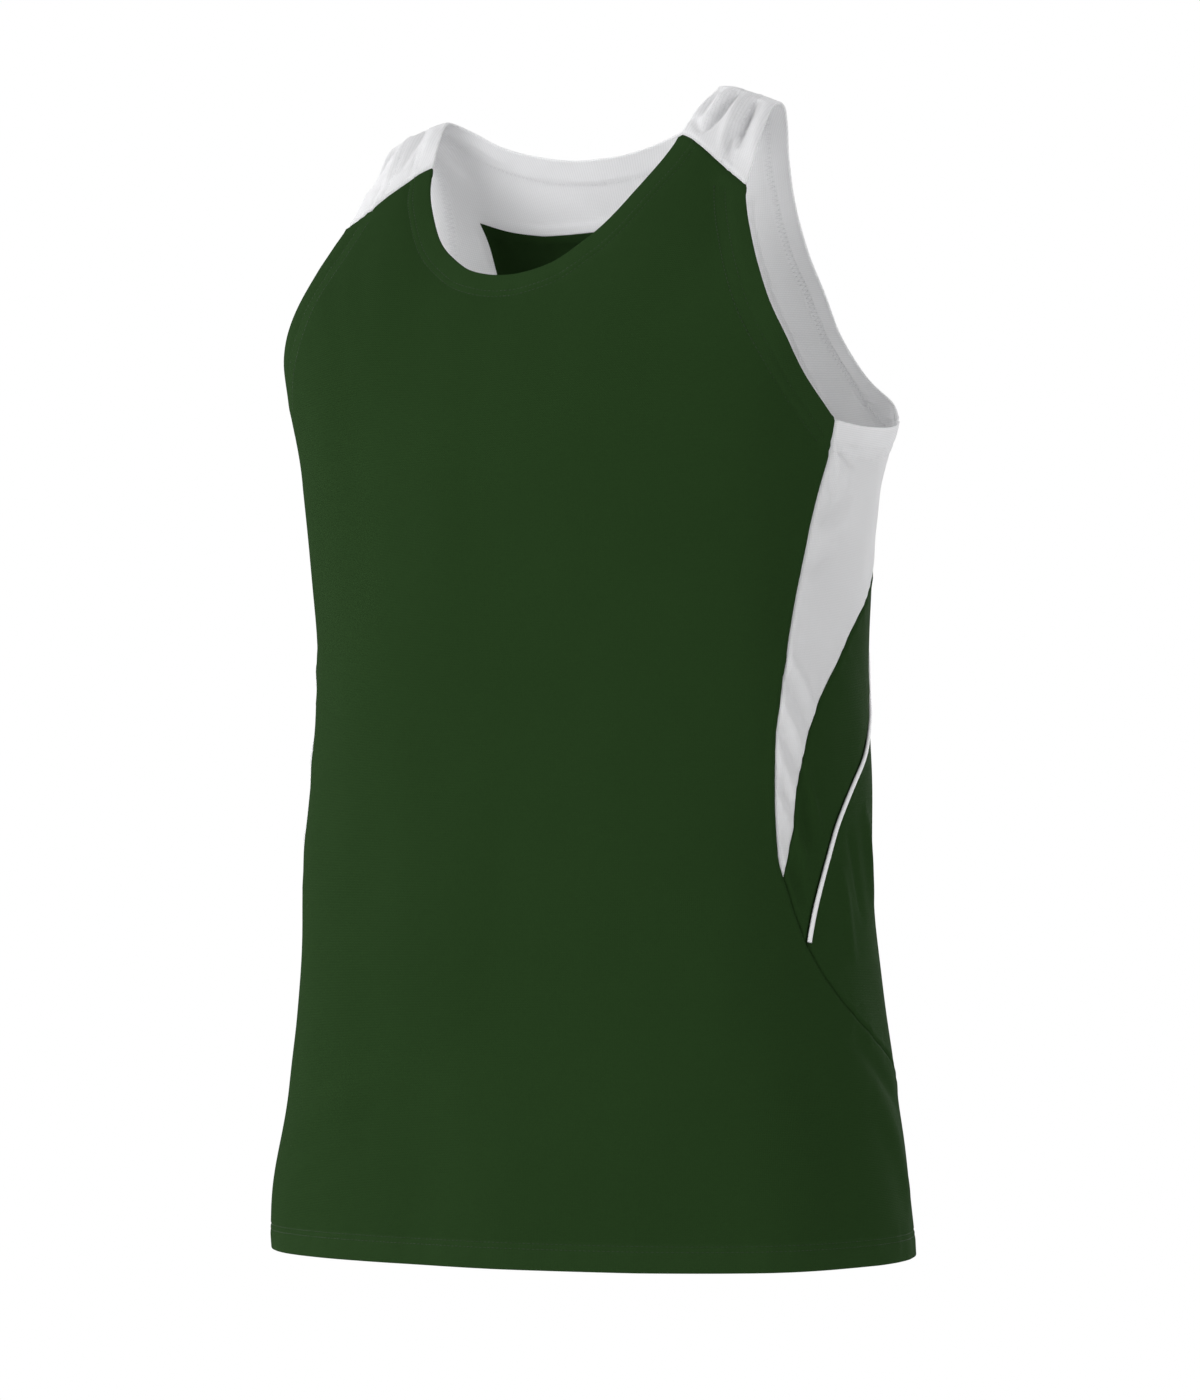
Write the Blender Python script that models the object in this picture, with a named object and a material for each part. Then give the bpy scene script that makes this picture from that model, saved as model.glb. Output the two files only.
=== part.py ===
"""Track singlet, holding the shape it has when worn, with no wearer inside.

The garment hangs from the shoulders.  The row frame is in metres with +Z up, the front
faces -Y and the wearer's left is +X.  The origin lies midway between the two straps, at
the height where they rest on the shoulders.

Every panel is cut out of one surface, the form of the worn cloth.  A place on that form
is a pair (angle, rise):
    angle  0 at the centre front, 90 degrees at the wearer's left side, 180 at the back
    rise   distance up the cloth from the hem.  Past RIDGE_RISE it runs over the shoulder
           and down the other side, so one panel can lie over the shoulder.
"""

import math
from collections import namedtuple

import bmesh
import bpy
from mathutils import Vector
from mathutils.geometry import delaunay_2d_cdt

# ---------------------------------------------------------------- driving sizes, metres
LENGTH = 0.722  # shoulder at the neck to hem, a men's medium
WALL = 0.0012
HEM_WALL = 0.0018  # along the turned edges, where the cloth is double
SEAM_GAP = 0.0004  # between two panels at a seam
PIPING_WIDTH = 0.0034
PIPING_WALL = 0.0022  # a folded strip, so thicker than the panels
PIPING_LIFT = (PIPING_WALL - WALL) / 2  # its underside is level with the panels'
PIPING_FOOT_TRIM = 0.0028  # it stops short of the seams it runs into
PIPING_TOP_TRIM = 0.0050

CHEST_RISE = 0.480  # the cloth is a tube up to here, and a dome above it
DOME_RUN = 0.245  # cloth from the chest level up to the shoulder ridge
RIDGE_RISE = CHEST_RISE + DOME_RUN
RIDGE_BACK = 0.002  # the ridge lies this far behind the middle of the chest

FACET = 0.024  # between the cloth's inner points
EDGE_FACET = 0.014  # between the points along an edge
STRAP_FACET = 0.009  # the straps are finer, for their gathers
PIPING_FACET = 0.010
STRAP_RISE = 0.655  # finer above this
ROW_SPACING = math.sqrt(3) / 2  # of the inner points' staggered rows, in facets
EDGE_CLEARANCE = 0.55  # of the inner points from the cut edge, in facets
NEARLY_STRAIGHT = 0.05  # the sine of a turn in a cut line that needs no mitre
MERGE_DISTANCE = 1e-7
SMALL_STEP = 1e-4  # for slopes of the form, in radians or metres
HALVINGS = 40  # enough to find an angle to the last digit
SPLINE_SPANS = 12
PIPING_SIDES = 6
GIRTH_RADIUS = 0.165  # turns an angle into a distance, for laying out facets

GREEN = (0.018, 0.037, 0.012)
WHITE = (0.72, 0.72, 0.73)
CLOTH_ROUGHNESS = 0.75

Ring = namedtuple("Ring", "rise half_width front back front_fullness back_fullness")
RINGS = (  # fullness 0 makes a section an ellipse; more makes its corners fuller
    Ring(0.000, 0.2060, 0.139, 0.152, 0.030, 0.030),
    Ring(0.100, 0.1950, 0.129, 0.146, 0.030, 0.030),
    Ring(0.190, 0.1850, 0.125, 0.130, 0.030, 0.030),
    Ring(0.280, 0.1835, 0.118, 0.128, 0.030, 0.030),
    Ring(0.380, 0.1835, 0.114, 0.130, 0.030, 0.030),
    Ring(0.480, 0.1910, 0.114, 0.125, 0.034, 0.030),
    Ring(0.520, 0.1940, 0.116, 0.110, 0.050, 0.025),
    Ring(0.560, 0.2000, 0.110, 0.084, 0.075, 0.010),
    Ring(0.600, 0.2080, 0.099, 0.060, 0.070, 0.000),
    Ring(0.640, 0.2200, 0.086, 0.046, 0.050, 0.005),
    Ring(0.725, 0.2350, 0.078, 0.042, 0.030, 0.030),
)

Ridge = namedtuple("Ridge", "across height")
SHOULDER_RIDGE = (
    Ridge(0.000, 0.702),
    Ridge(0.050, 0.708),
    Ridge(0.100, 0.722),
    Ridge(0.143, 0.707),
    Ridge(0.190, 0.680),
    Ridge(0.260, 0.640),
)

# Edges seen square on from the front or the back: distance from the centre line, and
# height above the hem.
Spot = namedtuple("Spot", "across height")
FRONT_NECK = (  # centre front to the shoulder seam
    Spot(0.000, 0.5940),
    Spot(0.028, 0.6015),
    Spot(0.048, 0.6145),
    Spot(0.063, 0.6290),
    Spot(0.077, 0.6510),
    Spot(0.086, 0.6680),
    Spot(0.0920, 0.6840),
)
SHOULDER_SEAM = (  # neck end to armhole end, in front of the ridge
    Spot(0.0920, 0.6840),
    Spot(0.1190, 0.6690),
    Spot(0.1490, 0.6500),
)
FRONT_ARMHOLE = (  # shoulder seam down to the side insert
    Spot(0.1490, 0.6500),
    Spot(0.1500, 0.6370),
    Spot(0.1545, 0.6180),
    Spot(0.1640, 0.5940),
    Spot(0.1720, 0.5700),
    Spot(0.1780, 0.5470),
    Spot(0.1835, 0.5240),
)
BACK_NECK = (  # just behind the ridge to the centre back
    Spot(0.0990, 0.7205),
    Spot(0.0820, 0.7095),
    Spot(0.0500, 0.6955),
    Spot(0.0250, 0.6900),
    Spot(0.0000, 0.6885),
)
BACK_ARMHOLE = (  # near the side insert up to just behind the ridge
    Spot(0.1655, 0.5410),
    Spot(0.1517, 0.5660),
    Spot(0.1450, 0.5910),
    Spot(0.1397, 0.6150),
    Spot(0.1364, 0.6390),
    Spot(0.1348, 0.6630),
    Spot(0.1352, 0.6880),
    Spot(0.1385, 0.7030),
)
YOKE_SEAM = (  # centre back out to the corner beside the armhole
    Spot(0.0000, 0.6480),
    Spot(0.0270, 0.6470),
    Spot(0.0550, 0.6480),
    Spot(0.0800, 0.6535),
    Spot(0.0980, 0.6600),
)
YOKE_BAND = (  # that corner down beside the armhole to the piping
    Spot(0.0980, 0.6600),
    Spot(0.0945, 0.6440),
    Spot(0.0945, 0.6210),
    Spot(0.0965, 0.5970),
    Spot(0.1025, 0.5730),
    Spot(0.1105, 0.5480),
)

# Seams and edges round the sides: degrees from the centre front, and rise.
Turn = namedtuple("Turn", "angle rise")
UNDERARM_FRONT = Turn(77.4, 0.497)
UNDERARM_MIDDLE = Turn(95.0, 0.4970)
UNDERARM_BACK = Turn(114.0, 0.503)
INSERT_FRONT = (
    Turn(76.3, 0.488),
    Turn(72.1, 0.454),
    Turn(68.4, 0.406),
    Turn(64.0, 0.358),
    Turn(61.2, 0.310),
    Turn(61.2, 0.274),
    Turn(63.0, 0.242),
)
INSERT_TIP = Turn(65.0, 0.229)
INSERT_BACK = (
    Turn(66.2, 0.245),
    Turn(68.2, 0.287),
    Turn(70.9, 0.311),
    Turn(75.7, 0.335),
    Turn(84.7, 0.360),
    Turn(95.0, 0.385),
)
SIDE_CORNER = Turn(112.5, 0.416)
YOKE_SIDE = Turn(126.0, 0.450)
PIPING_FOOT = Turn(72.6, 0.189)
PIPING_LINE = (
    Turn(76.0, 0.216),
    Turn(79.5, 0.240),
    Turn(83.9, 0.264),
    Turn(91.6, 0.288),
    Turn(102.4, 0.314),
    Turn(116.0, 0.352),
    Turn(129.0, 0.412),
)
PIPING_TOP = Turn(138.0, 0.488)
LOW_SEAM = (
    Turn(81.8, 0.156),
    Turn(93.5, 0.133),
    Turn(103.5, 0.121),
    Turn(120.0, 0.093),
    Turn(138.0, 0.045),
)
SEAM_AT_HEM = Turn(148.0, 0.000)

# The largest folds, each along a straight line of the cloth, in degrees and rise.  A
# height below 0 is a trough.  Side 1 is the wearer's left, -1 the right, 0 both.
Fold = namedtuple("Fold", "side angle rise end_angle end_rise width height")
FOLDS = (
    Fold(0, 97.0, 0.507, 122.0, 0.512, 0.026, 0.0120),  # cloth stands off under the arm
    Fold(1, 22.5, 0.660, 21.5, 0.735, 0.0035, -0.0022),  # gathers on the straps
    Fold(1, 25.0, 0.640, 25.5, 0.740, 0.0040, -0.0030),
    Fold(1, 29.0, 0.632, 28.5, 0.735, 0.0040, -0.0026),
    Fold(-1, 24.0, 0.650, 25.0, 0.730, 0.0045, -0.0016),
    Fold(-1, 30.0, 0.640, 29.0, 0.735, 0.0045, -0.0018),
    Fold(0, 69.0, 0.255, 84.0, 0.205, 0.012, 0.0020),  # drag folds on the side panels
    Fold(0, 74.0, 0.285, 92.0, 0.225, 0.012, 0.0020),
    Fold(-1, 68.0, 0.060, 30.0, 0.095, 0.014, 0.0022),  # drag folds low on the front
    Fold(-1, 64.0, 0.020, 34.0, 0.050, 0.014, 0.0018),
    Fold(1, 82.0, 0.110, 88.0, 0.020, 0.016, 0.0020),
)


# ---------------------------------------------------------------- curves
def spline(knots):
    """Points of a smooth curve through knots, which are tuples of any one length."""
    points = []
    last = len(knots) - 1
    for i in range(last):
        before, start = knots[max(i - 1, 0)], knots[i]
        end, after = knots[i + 1], knots[min(i + 2, last)]
        for step in range(SPLINE_SPANS):
            t = step / SPLINE_SPANS
            points.append(
                tuple(
                    0.5
                    * (
                        2 * b
                        + (c - a) * t
                        + (2 * a - 5 * b + 4 * c - d) * t * t
                        + (3 * b - a - 3 * c + d) * t * t * t
                    )
                    for a, b, c, d in zip(before, start, end, after)
                )
            )
    points.append(tuple(knots[-1]))
    return points


def table_curve(rows):
    """A function giving a row's later columns, smoothed, for a value of its first column."""

    def read(value):
        value = min(max(value, rows[0][0]), rows[-1][0])
        i = next(k for k in range(len(rows) - 1) if value <= rows[k + 1][0])
        low, high = rows[i], rows[i + 1]
        span = high[0] - low[0]
        t = (value - low[0]) / span
        found = []
        for column in range(1, len(low)):
            slope_low = slope_at(rows, i, column) * span
            slope_high = slope_at(rows, i + 1, column) * span
            a, b = low[column], high[column]
            found.append(
                a * (1 + 2 * t) * (1 - t) ** 2
                + slope_low * t * (1 - t) ** 2
                + b * t * t * (3 - 2 * t)
                + slope_high * t * t * (t - 1)
            )
        return found

    return read


def slope_at(rows, i, column):
    if i in (0, len(rows) - 1):
        return 0.0
    return (rows[i + 1][column] - rows[i - 1][column]) / (rows[i + 1][0] - rows[i - 1][0])


ring_at = table_curve(RINGS)
FRONT_FULLNESS, BACK_FULLNESS = 3, 4  # their places among ring_at()'s columns
ridge_at = table_curve(SHOULDER_RIDGE)


def lengths_along(points):
    lengths = [0.0]
    for a, b in zip(points, points[1:]):
        lengths.append(lengths[-1] + math.dist(a, b))
    return lengths


def point_along(points, lengths, wanted):
    """The point of a line that lies a wanted distance along it."""
    i = 0
    while i < len(points) - 2 and lengths[i + 1] < wanted:
        i += 1
    part = (wanted - lengths[i]) / (lengths[i + 1] - lengths[i])
    return tuple(a + (b - a) * part for a, b in zip(points[i], points[i + 1]))


def spaced(points, step):
    """The same line with its points about step apart."""
    lengths = lengths_along(points)
    count = max(1, round(lengths[-1] / step))
    stops = [lengths[-1] * k / count for k in range(count + 1)]
    return [point_along(points, lengths, stop) for stop in stops]


def trimmed(points, start, end):
    """The same line shortened at its two ends."""
    lengths = lengths_along(points)
    last = lengths[-1] - end
    middle = [p for p, at in zip(points, lengths) if start < at < last]
    first_point = point_along(points, lengths, start)
    return [first_point] + middle + [point_along(points, lengths, last)]


def distance_to(start, end, place):
    """Distance from a place to the straight line between two others."""
    run = (end[0] - start[0], end[1] - start[1])
    share = (place[0] - start[0]) * run[0] + (place[1] - start[1]) * run[1]
    share = min(max(share / (run[0] ** 2 + run[1] ** 2), 0.0), 1.0)
    return math.dist(place, (start[0] + share * run[0], start[1] + share * run[1]))


# ---------------------------------------------------------------- the worn form
def section(angle, fullness):
    """(sideways, forward) of a unit section."""
    sideways = math.sin(angle) + fullness * math.sin(3 * angle)
    forward = math.cos(angle) - fullness * math.cos(3 * angle)
    return sideways / (1 - fullness), forward / (1 - fullness)


def angle_for(share, fullness):
    """The angle up to 90 degrees at which section() reaches this share sideways."""
    low, high = 0.0, math.pi / 2
    for _ in range(HALVINGS):
        middle = (low + high) / 2
        if section(middle, fullness)[0] < share:
            low = middle
        else:
            high = middle
    return low


def smooth_form(angle, rise):
    """The point of the form at angle, in radians, and rise, before it is folded."""
    level = min(rise, 2 * RIDGE_RISE - rise)
    half_width, front, back, front_fullness, back_fullness = ring_at(level)
    turn = max(0.0, (rise - CHEST_RISE) / DOME_RUN) * math.pi / 2
    lean = math.cos(turn)
    at_front = math.cos(angle) * lean > 0
    sideways, forward = section(angle, front_fullness if at_front else back_fullness)
    x = half_width * sideways
    y = (back - front) / 2 * lean**2 - (back + front) / 2 * forward * lean
    y += RIDGE_BACK * math.sin(turn) ** 2
    foot = min(level, CHEST_RISE)
    z = foot + (ridge_at(abs(x))[0] - CHEST_RISE) * math.sin(turn)
    return Vector((x, y, z - LENGTH))


def outward(angle, rise):
    """The smooth form's unit normal."""
    along = smooth_form(angle + SMALL_STEP, rise) - smooth_form(angle - SMALL_STEP, rise)
    up = smooth_form(angle, rise + SMALL_STEP) - smooth_form(angle, rise - SMALL_STEP)
    return along.cross(up).normalized()


def fold_height(angle, rise):
    """How far the folds move the cloth outwards at a place."""
    total = 0.0
    for place in ((angle, rise), over_ridge((angle, rise))):
        turned = math.remainder(place[0], 2 * math.pi)
        spot = flat((abs(turned), place[1]))
        for row in FOLDS:
            if row.side * turned < 0:
                continue
            start = flat((math.radians(row.angle), row.rise))
            end = flat((math.radians(row.end_angle), row.end_rise))
            away = distance_to(start, end, spot) / row.width
            total += row.height * math.exp(-(away**2))
    return total


def form(angle, rise, lift=0.0):
    """The point of the worn cloth, lifted outwards from its middle."""
    return smooth_form(angle, rise) + outward(angle, rise) * (
        fold_height(angle, rise) + lift
    )


def squared_on(spot, fullness_column):
    """(angle, rise) of a spot given by its distance from the centre line and height."""
    climb = (spot.height - CHEST_RISE) / (ridge_at(spot.across)[0] - CHEST_RISE)
    rise = CHEST_RISE + DOME_RUN * math.asin(min(max(climb, 0.0), 1.0)) / (math.pi / 2)
    columns = ring_at(rise)
    return angle_for(spot.across / columns[0], columns[fullness_column]), rise


def on_front(spot):
    return squared_on(spot, FRONT_FULLNESS)


def on_back(spot):
    angle, rise = squared_on(spot, BACK_FULLNESS)
    return math.pi - angle, rise


def over_ridge(place):
    """The same place of the form, counted over the shoulder from the other side."""
    angle, rise = place
    return math.pi - angle, 2 * RIDGE_RISE - rise


def at_turn(turn):
    return math.radians(turn.angle), turn.rise


# ---------------------------------------------------------------- flat layout of the panels
def flat(place):
    """(angle, rise) as a point of the flat layout, in metres."""
    return place[0] * GIRTH_RADIUS, place[1]


def line(places):
    """A smooth line of the flat layout through places of the form."""
    return spline([flat(p) for p in places])


def mirrored(points, centre=0.0):
    """The wearer's right side of a line on the left, about a centre angle, run backwards."""
    middle = centre * GIRTH_RADIUS
    return [(2 * middle - u, v) for u, v in reversed(points)]


def outlines():
    """The cut lines of the wearer's left side, as lines of the flat layout."""

    def turns(*rows):
        return line([at_turn(row) for row in rows])

    seam = [on_front(s) for s in SHOULDER_SEAM]
    front_arm = [on_front(s) for s in FRONT_ARMHOLE]
    back_arm = [on_back(s) for s in BACK_ARMHOLE]
    back_neck = [on_back(s) for s in BACK_NECK]
    yoke_band = [on_back(s) for s in reversed(YOKE_BAND)]
    yoke_seam = [on_back(s) for s in reversed(YOKE_SEAM)]
    return {
        "front_neck": line([on_front(s) for s in FRONT_NECK]),
        "shoulder": line(seam),
        "shoulder_over": line([over_ridge(p) for p in seam]),
        "front_arm": line(front_arm + [at_turn(UNDERARM_FRONT)]),
        "under_arm": turns(UNDERARM_FRONT, UNDERARM_MIDDLE, UNDERARM_BACK),
        "back_arm": line([at_turn(UNDERARM_BACK)] + back_arm + [over_ridge(seam[-1])]),
        "back_neck": line([over_ridge(seam[0])] + back_neck),
        "insert_front": turns(UNDERARM_FRONT, *INSERT_FRONT, INSERT_TIP),
        "insert_back": turns(INSERT_TIP, *INSERT_BACK, SIDE_CORNER),
        "insert_side": turns(UNDERARM_BACK, SIDE_CORNER),
        "piping": turns(PIPING_FOOT, *PIPING_LINE, PIPING_TOP),
        "tip_to_piping": turns(INSERT_TIP, PIPING_FOOT),
        "low_seam": turns(PIPING_FOOT, *LOW_SEAM, SEAM_AT_HEM),
        "yoke_side": turns(SIDE_CORNER, YOKE_SIDE, PIPING_TOP),
        "yoke_band": line([at_turn(PIPING_TOP)] + yoke_band),
        "yoke_top": line(yoke_seam),
        "front_hem": turns(Turn(0.0, 0.0), SEAM_AT_HEM),
        "back_hem": turns(SEAM_AT_HEM, Turn(180.0, 0.0)),
    }


# ---------------------------------------------------------------- building
def stretch(place, way):
    """Real length of one metre of the flat layout, at a place and along a direction."""
    ends = [
        smooth_form(
            (place[0] + way[0] * step) / GIRTH_RADIUS,
            place[1] + way[1] * step,
        )
        for step in (-SMALL_STEP, SMALL_STEP)
    ]
    return (ends[1] - ends[0]).length / (2 * SMALL_STEP)


def across(start, end):
    """Unit direction to the left of a step, in the flat layout."""
    length = math.dist(start, end)
    return ((start[1] - end[1]) / length, (end[0] - start[0]) / length)


def cut_loop(edges):
    """A panel's closed outline, and the wall's thickness at each of its points.

    The edges are (line, inset, step) and run anticlockwise round the panel.  Each line is
    moved in by its inset, a real distance, and the moved lines meet in mitred corners.  An
    edge with no inset is a turned hem.
    """
    corners = []
    for points, inset, step in edges:
        stops = spaced(points, step)
        for start, end in zip(stops, stops[1:]):
            corners.append((start, across(start, end), inset))
    loop, walls = [], []
    for i, (place, normal, inset) in enumerate(corners):
        _, last_normal, last_inset = corners[i - 1]
        here = inset / stretch(place, normal)
        last = last_inset / stretch(place, last_normal)
        turn = last_normal[0] * normal[1] - last_normal[1] * normal[0]
        if abs(turn) < NEARLY_STRAIGHT:
            mean = (here + last) / 2
            corner = (place[0] + normal[0] * mean, place[1] + normal[1] * mean)
        else:
            corner = (
                place[0] + (last * normal[1] - here * last_normal[1]) / turn,
                place[1] + (here * last_normal[0] - last * normal[0]) / turn,
            )
        loop.append(corner)
        walls.append(HEM_WALL if min(inset, last_inset) == 0.0 else WALL)
    return loop, walls


def inside(loop, place):
    """Whether a place lies inside a loop."""
    hit = False
    for (u1, v1), (u2, v2) in zip(loop, loop[1:] + loop[:1]):
        if (v1 > place[1]) != (v2 > place[1]):
            if place[0] < u1 + (place[1] - v1) * (u2 - u1) / (v2 - v1):
                hit = not hit
    return hit


def clearance(loop, place):
    """Distance from a place to the loop."""
    return min(
        distance_to(start, end, place) for start, end in zip(loop, loop[1:] + loop[:1])
    )


def inner_points(loop):
    """Points in staggered rows inside a loop, clear of its edge; closer on the straps."""
    points = []
    left, right = min(p[0] for p in loop), max(p[0] for p in loop)
    middle = (left + right) / 2
    v, high = min(p[1] for p in loop), max(p[1] for p in loop)
    row = 0
    while v < high:
        step = STRAP_FACET if v > STRAP_RISE else FACET
        reach = int((right - left) / 2 / step) + 1
        for i in range(-reach, reach + 1):
            place = (middle + (i + 0.5 * (row % 2)) * step, v)
            if inside(loop, place) and clearance(loop, place) > EDGE_CLEARANCE * step:
                points.append(place)
        v += step * ROW_SPACING
        row += 1
    return points


def make_object(name, colour, vertices, faces):
    mesh = bpy.data.meshes.new(name)
    mesh.from_pydata(vertices, [], faces)
    body = bmesh.new()
    body.from_mesh(mesh)
    bmesh.ops.triangulate(body, faces=body.faces)
    bmesh.ops.recalc_face_normals(body, faces=body.faces)
    body.to_mesh(mesh)
    body.free()
    material = bpy.data.materials.new(name + "_cloth")
    material.use_nodes = True
    shader = material.node_tree.nodes["Principled BSDF"]
    shader.inputs["Base Color"].default_value = (*colour, 1.0)
    shader.inputs["Roughness"].default_value = CLOTH_ROUGHNESS
    shader.inputs["Metallic"].default_value = 0.0
    mesh.materials.append(material)
    body_object = bpy.data.objects.new(name, mesh)
    bpy.context.scene.collection.objects.link(body_object)
    return body_object


def make_panel(name, colour, edges):
    """A panel of cloth: two skins a wall apart, joined along the cut edge."""
    loop, hem_walls = cut_loop(edges)
    inner = inner_points(loop)
    walls = hem_walls + [WALL] * len(inner)
    rim = [(i, (i + 1) % len(loop)) for i in range(len(loop))]
    places, _, triangles, sources, _, _ = delaunay_2d_cdt(
        [Vector(p) for p in loop + inner], rim, [], 1, MERGE_DISTANCE
    )
    new_place = {source[0]: i for i, source in enumerate(sources)}
    skins = [
        form(place.x / GIRTH_RADIUS, place.y, side * walls[source[0]] / 2)
        for side in (1, -1)
        for place, source in zip(places, sources)
    ]
    count = len(places)
    faces = [tuple(face) for face in triangles]
    faces += [tuple(count + i for i in reversed(face)) for face in triangles]
    for start, end in rim:
        a, b = new_place[start], new_place[end]
        faces.append((b, a, count + a, count + b))
    return make_object(name, colour, skins, faces)


def make_piping(name, colour, points):
    """A flat rounded strip along a line of the flat layout."""
    stops = spaced(points, PIPING_FACET)
    turns = [2 * math.pi * k / PIPING_SIDES for k in range(PIPING_SIDES)]
    vertices, faces = [], []
    for i, place in enumerate(stops):
        side = across(stops[max(i - 1, 0)], stops[min(i + 1, len(stops) - 1)])
        reach = PIPING_WIDTH / 2 / stretch(place, side)
        for turn in turns:
            u = place[0] + side[0] * reach * math.cos(turn)
            v = place[1] + side[1] * reach * math.cos(turn)
            lift = PIPING_LIFT + math.sin(turn) * PIPING_WALL / 2
            vertices.append(form(u / GIRTH_RADIUS, v, lift))
    for i in range(len(stops) - 1):
        for k in range(PIPING_SIDES):
            a, b = i * PIPING_SIDES + k, i * PIPING_SIDES + (k + 1) % PIPING_SIDES
            faces.append((a, b, b + PIPING_SIDES, a + PIPING_SIDES))
    faces.append(tuple(range(PIPING_SIDES)))
    faces.append(tuple(reversed(range(len(vertices) - PIPING_SIDES, len(vertices)))))
    return make_object(name, colour, vertices, faces)


def backwards(points):
    return list(reversed(points))


def other_side(edges, centre=0.0):
    """The same run of edges on the wearer's right side."""
    return [
        (mirrored(points, centre), inset, step) for points, inset, step in reversed(edges)
    ]


def build():
    for old in list(bpy.data.objects):
        bpy.data.objects.remove(old)
    cuts = outlines()
    sewn = SEAM_GAP / 2
    beside_piping = PIPING_WIDTH / 2 + SEAM_GAP

    def edge(name, inset, turned=False, step=EDGE_FACET):
        return (backwards(cuts[name]) if turned else cuts[name], inset, step)

    # Each run of edges goes anticlockwise round its panel, seen from outside, and ends
    # where the other side's begins.
    front_half = [
        edge("front_hem", 0.0),
        edge("low_seam", sewn, turned=True),
        edge("tip_to_piping", sewn, turned=True),
        edge("insert_front", sewn, turned=True),
        edge("front_arm", 0.0, turned=True),
        edge("shoulder", sewn, turned=True, step=STRAP_FACET),
        edge("front_neck", 0.0, turned=True),
    ]
    back_half = [
        edge("yoke_top", sewn, turned=True),
        edge("yoke_band", sewn, turned=True),
        edge("piping", beside_piping, turned=True),
        edge("low_seam", sewn),
        edge("back_hem", 0.0),
    ]
    yoke_half = [
        edge("back_neck", 0.0, turned=True, step=STRAP_FACET),
        edge("shoulder_over", sewn, step=STRAP_FACET),
        edge("back_arm", 0.0, turned=True, step=STRAP_FACET),
        edge("insert_side", sewn),
        edge("yoke_side", sewn),
        edge("yoke_band", sewn),
        edge("yoke_top", sewn),
    ]
    insert = [
        edge("insert_back", sewn),
        edge("insert_side", sewn, turned=True),
        edge("under_arm", 0.0, turned=True),
        edge("insert_front", sewn),
    ]
    side_panel = [
        edge("tip_to_piping", sewn),
        edge("piping", beside_piping),
        edge("yoke_side", sewn, turned=True),
        edge("insert_back", sewn, turned=True),
    ]
    piping = trimmed(cuts["piping"], PIPING_FOOT_TRIM, PIPING_TOP_TRIM)

    make_panel("front", GREEN, front_half + other_side(front_half))
    make_panel("back", GREEN, back_half + other_side(back_half, math.pi))
    make_panel("back_yoke", WHITE, yoke_half + other_side(yoke_half, math.pi))
    make_panel("side_insert_left", WHITE, insert)
    make_panel("side_insert_right", WHITE, other_side(insert))
    make_panel("side_panel_left", GREEN, side_panel)
    make_panel("side_panel_right", GREEN, other_side(side_panel))
    make_piping("piping_left", WHITE, piping)
    make_piping("piping_right", WHITE, mirrored(piping))


build()
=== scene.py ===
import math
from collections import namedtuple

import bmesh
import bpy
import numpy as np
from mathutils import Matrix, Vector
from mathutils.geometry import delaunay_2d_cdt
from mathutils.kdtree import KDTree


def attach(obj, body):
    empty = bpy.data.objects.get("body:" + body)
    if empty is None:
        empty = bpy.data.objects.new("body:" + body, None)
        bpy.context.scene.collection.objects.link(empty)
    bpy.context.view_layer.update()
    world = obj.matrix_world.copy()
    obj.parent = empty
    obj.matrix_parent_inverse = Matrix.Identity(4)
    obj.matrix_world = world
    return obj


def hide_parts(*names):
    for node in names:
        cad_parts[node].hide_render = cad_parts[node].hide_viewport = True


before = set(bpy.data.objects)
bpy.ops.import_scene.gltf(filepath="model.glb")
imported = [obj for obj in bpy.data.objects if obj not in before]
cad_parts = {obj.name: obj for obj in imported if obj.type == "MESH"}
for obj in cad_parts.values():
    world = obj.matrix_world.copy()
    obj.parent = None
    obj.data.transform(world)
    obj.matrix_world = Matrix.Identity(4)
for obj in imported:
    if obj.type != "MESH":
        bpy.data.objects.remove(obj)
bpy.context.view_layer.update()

# %% [markdown]
# # A track singlet
# A sleeveless running top, knitted in dark green with white straps, white wedges under the
# arms and a thin white line of piping on each side. It is shown as it is worn, filled out
# but with nobody inside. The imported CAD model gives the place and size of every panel, and
# this script gives each panel its real cloth: folds, turned hems, seams, stitches and knit.
#
# The frame is in metres with +Z up. The front faces -Y, the wearer's left is +X, and the
# origin lies between the straps where they rest on the shoulders.

MM = 0.001
print("panels:", sorted(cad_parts))

# %% [markdown]
# ## The camera
# The singlet is seen from its front left, 30 degrees round, by a camera just above the hem
# that looks slightly up. A long lens from 2.4 m keeps the sides nearly parallel, as a
# studio picture of clothing does. The lens is worked out from the height of the picture.

# %% The camera
LENGTH = 0.722  # shoulder at the neck down to the hem
CAMERA_TURN = math.radians(30.0)
CAMERA_TILT = math.radians(3.63)
CAMERA_DISTANCE = 2.40
CAMERA_ABOVE_HEM = 0.190
CAMERA_ASIDE = 0.0103  # the singlet hangs slightly left of the picture's middle
PICTURE_HEIGHT = 1400
FOCAL_PIXELS = 3835.0
SENSOR = 36.0

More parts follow.
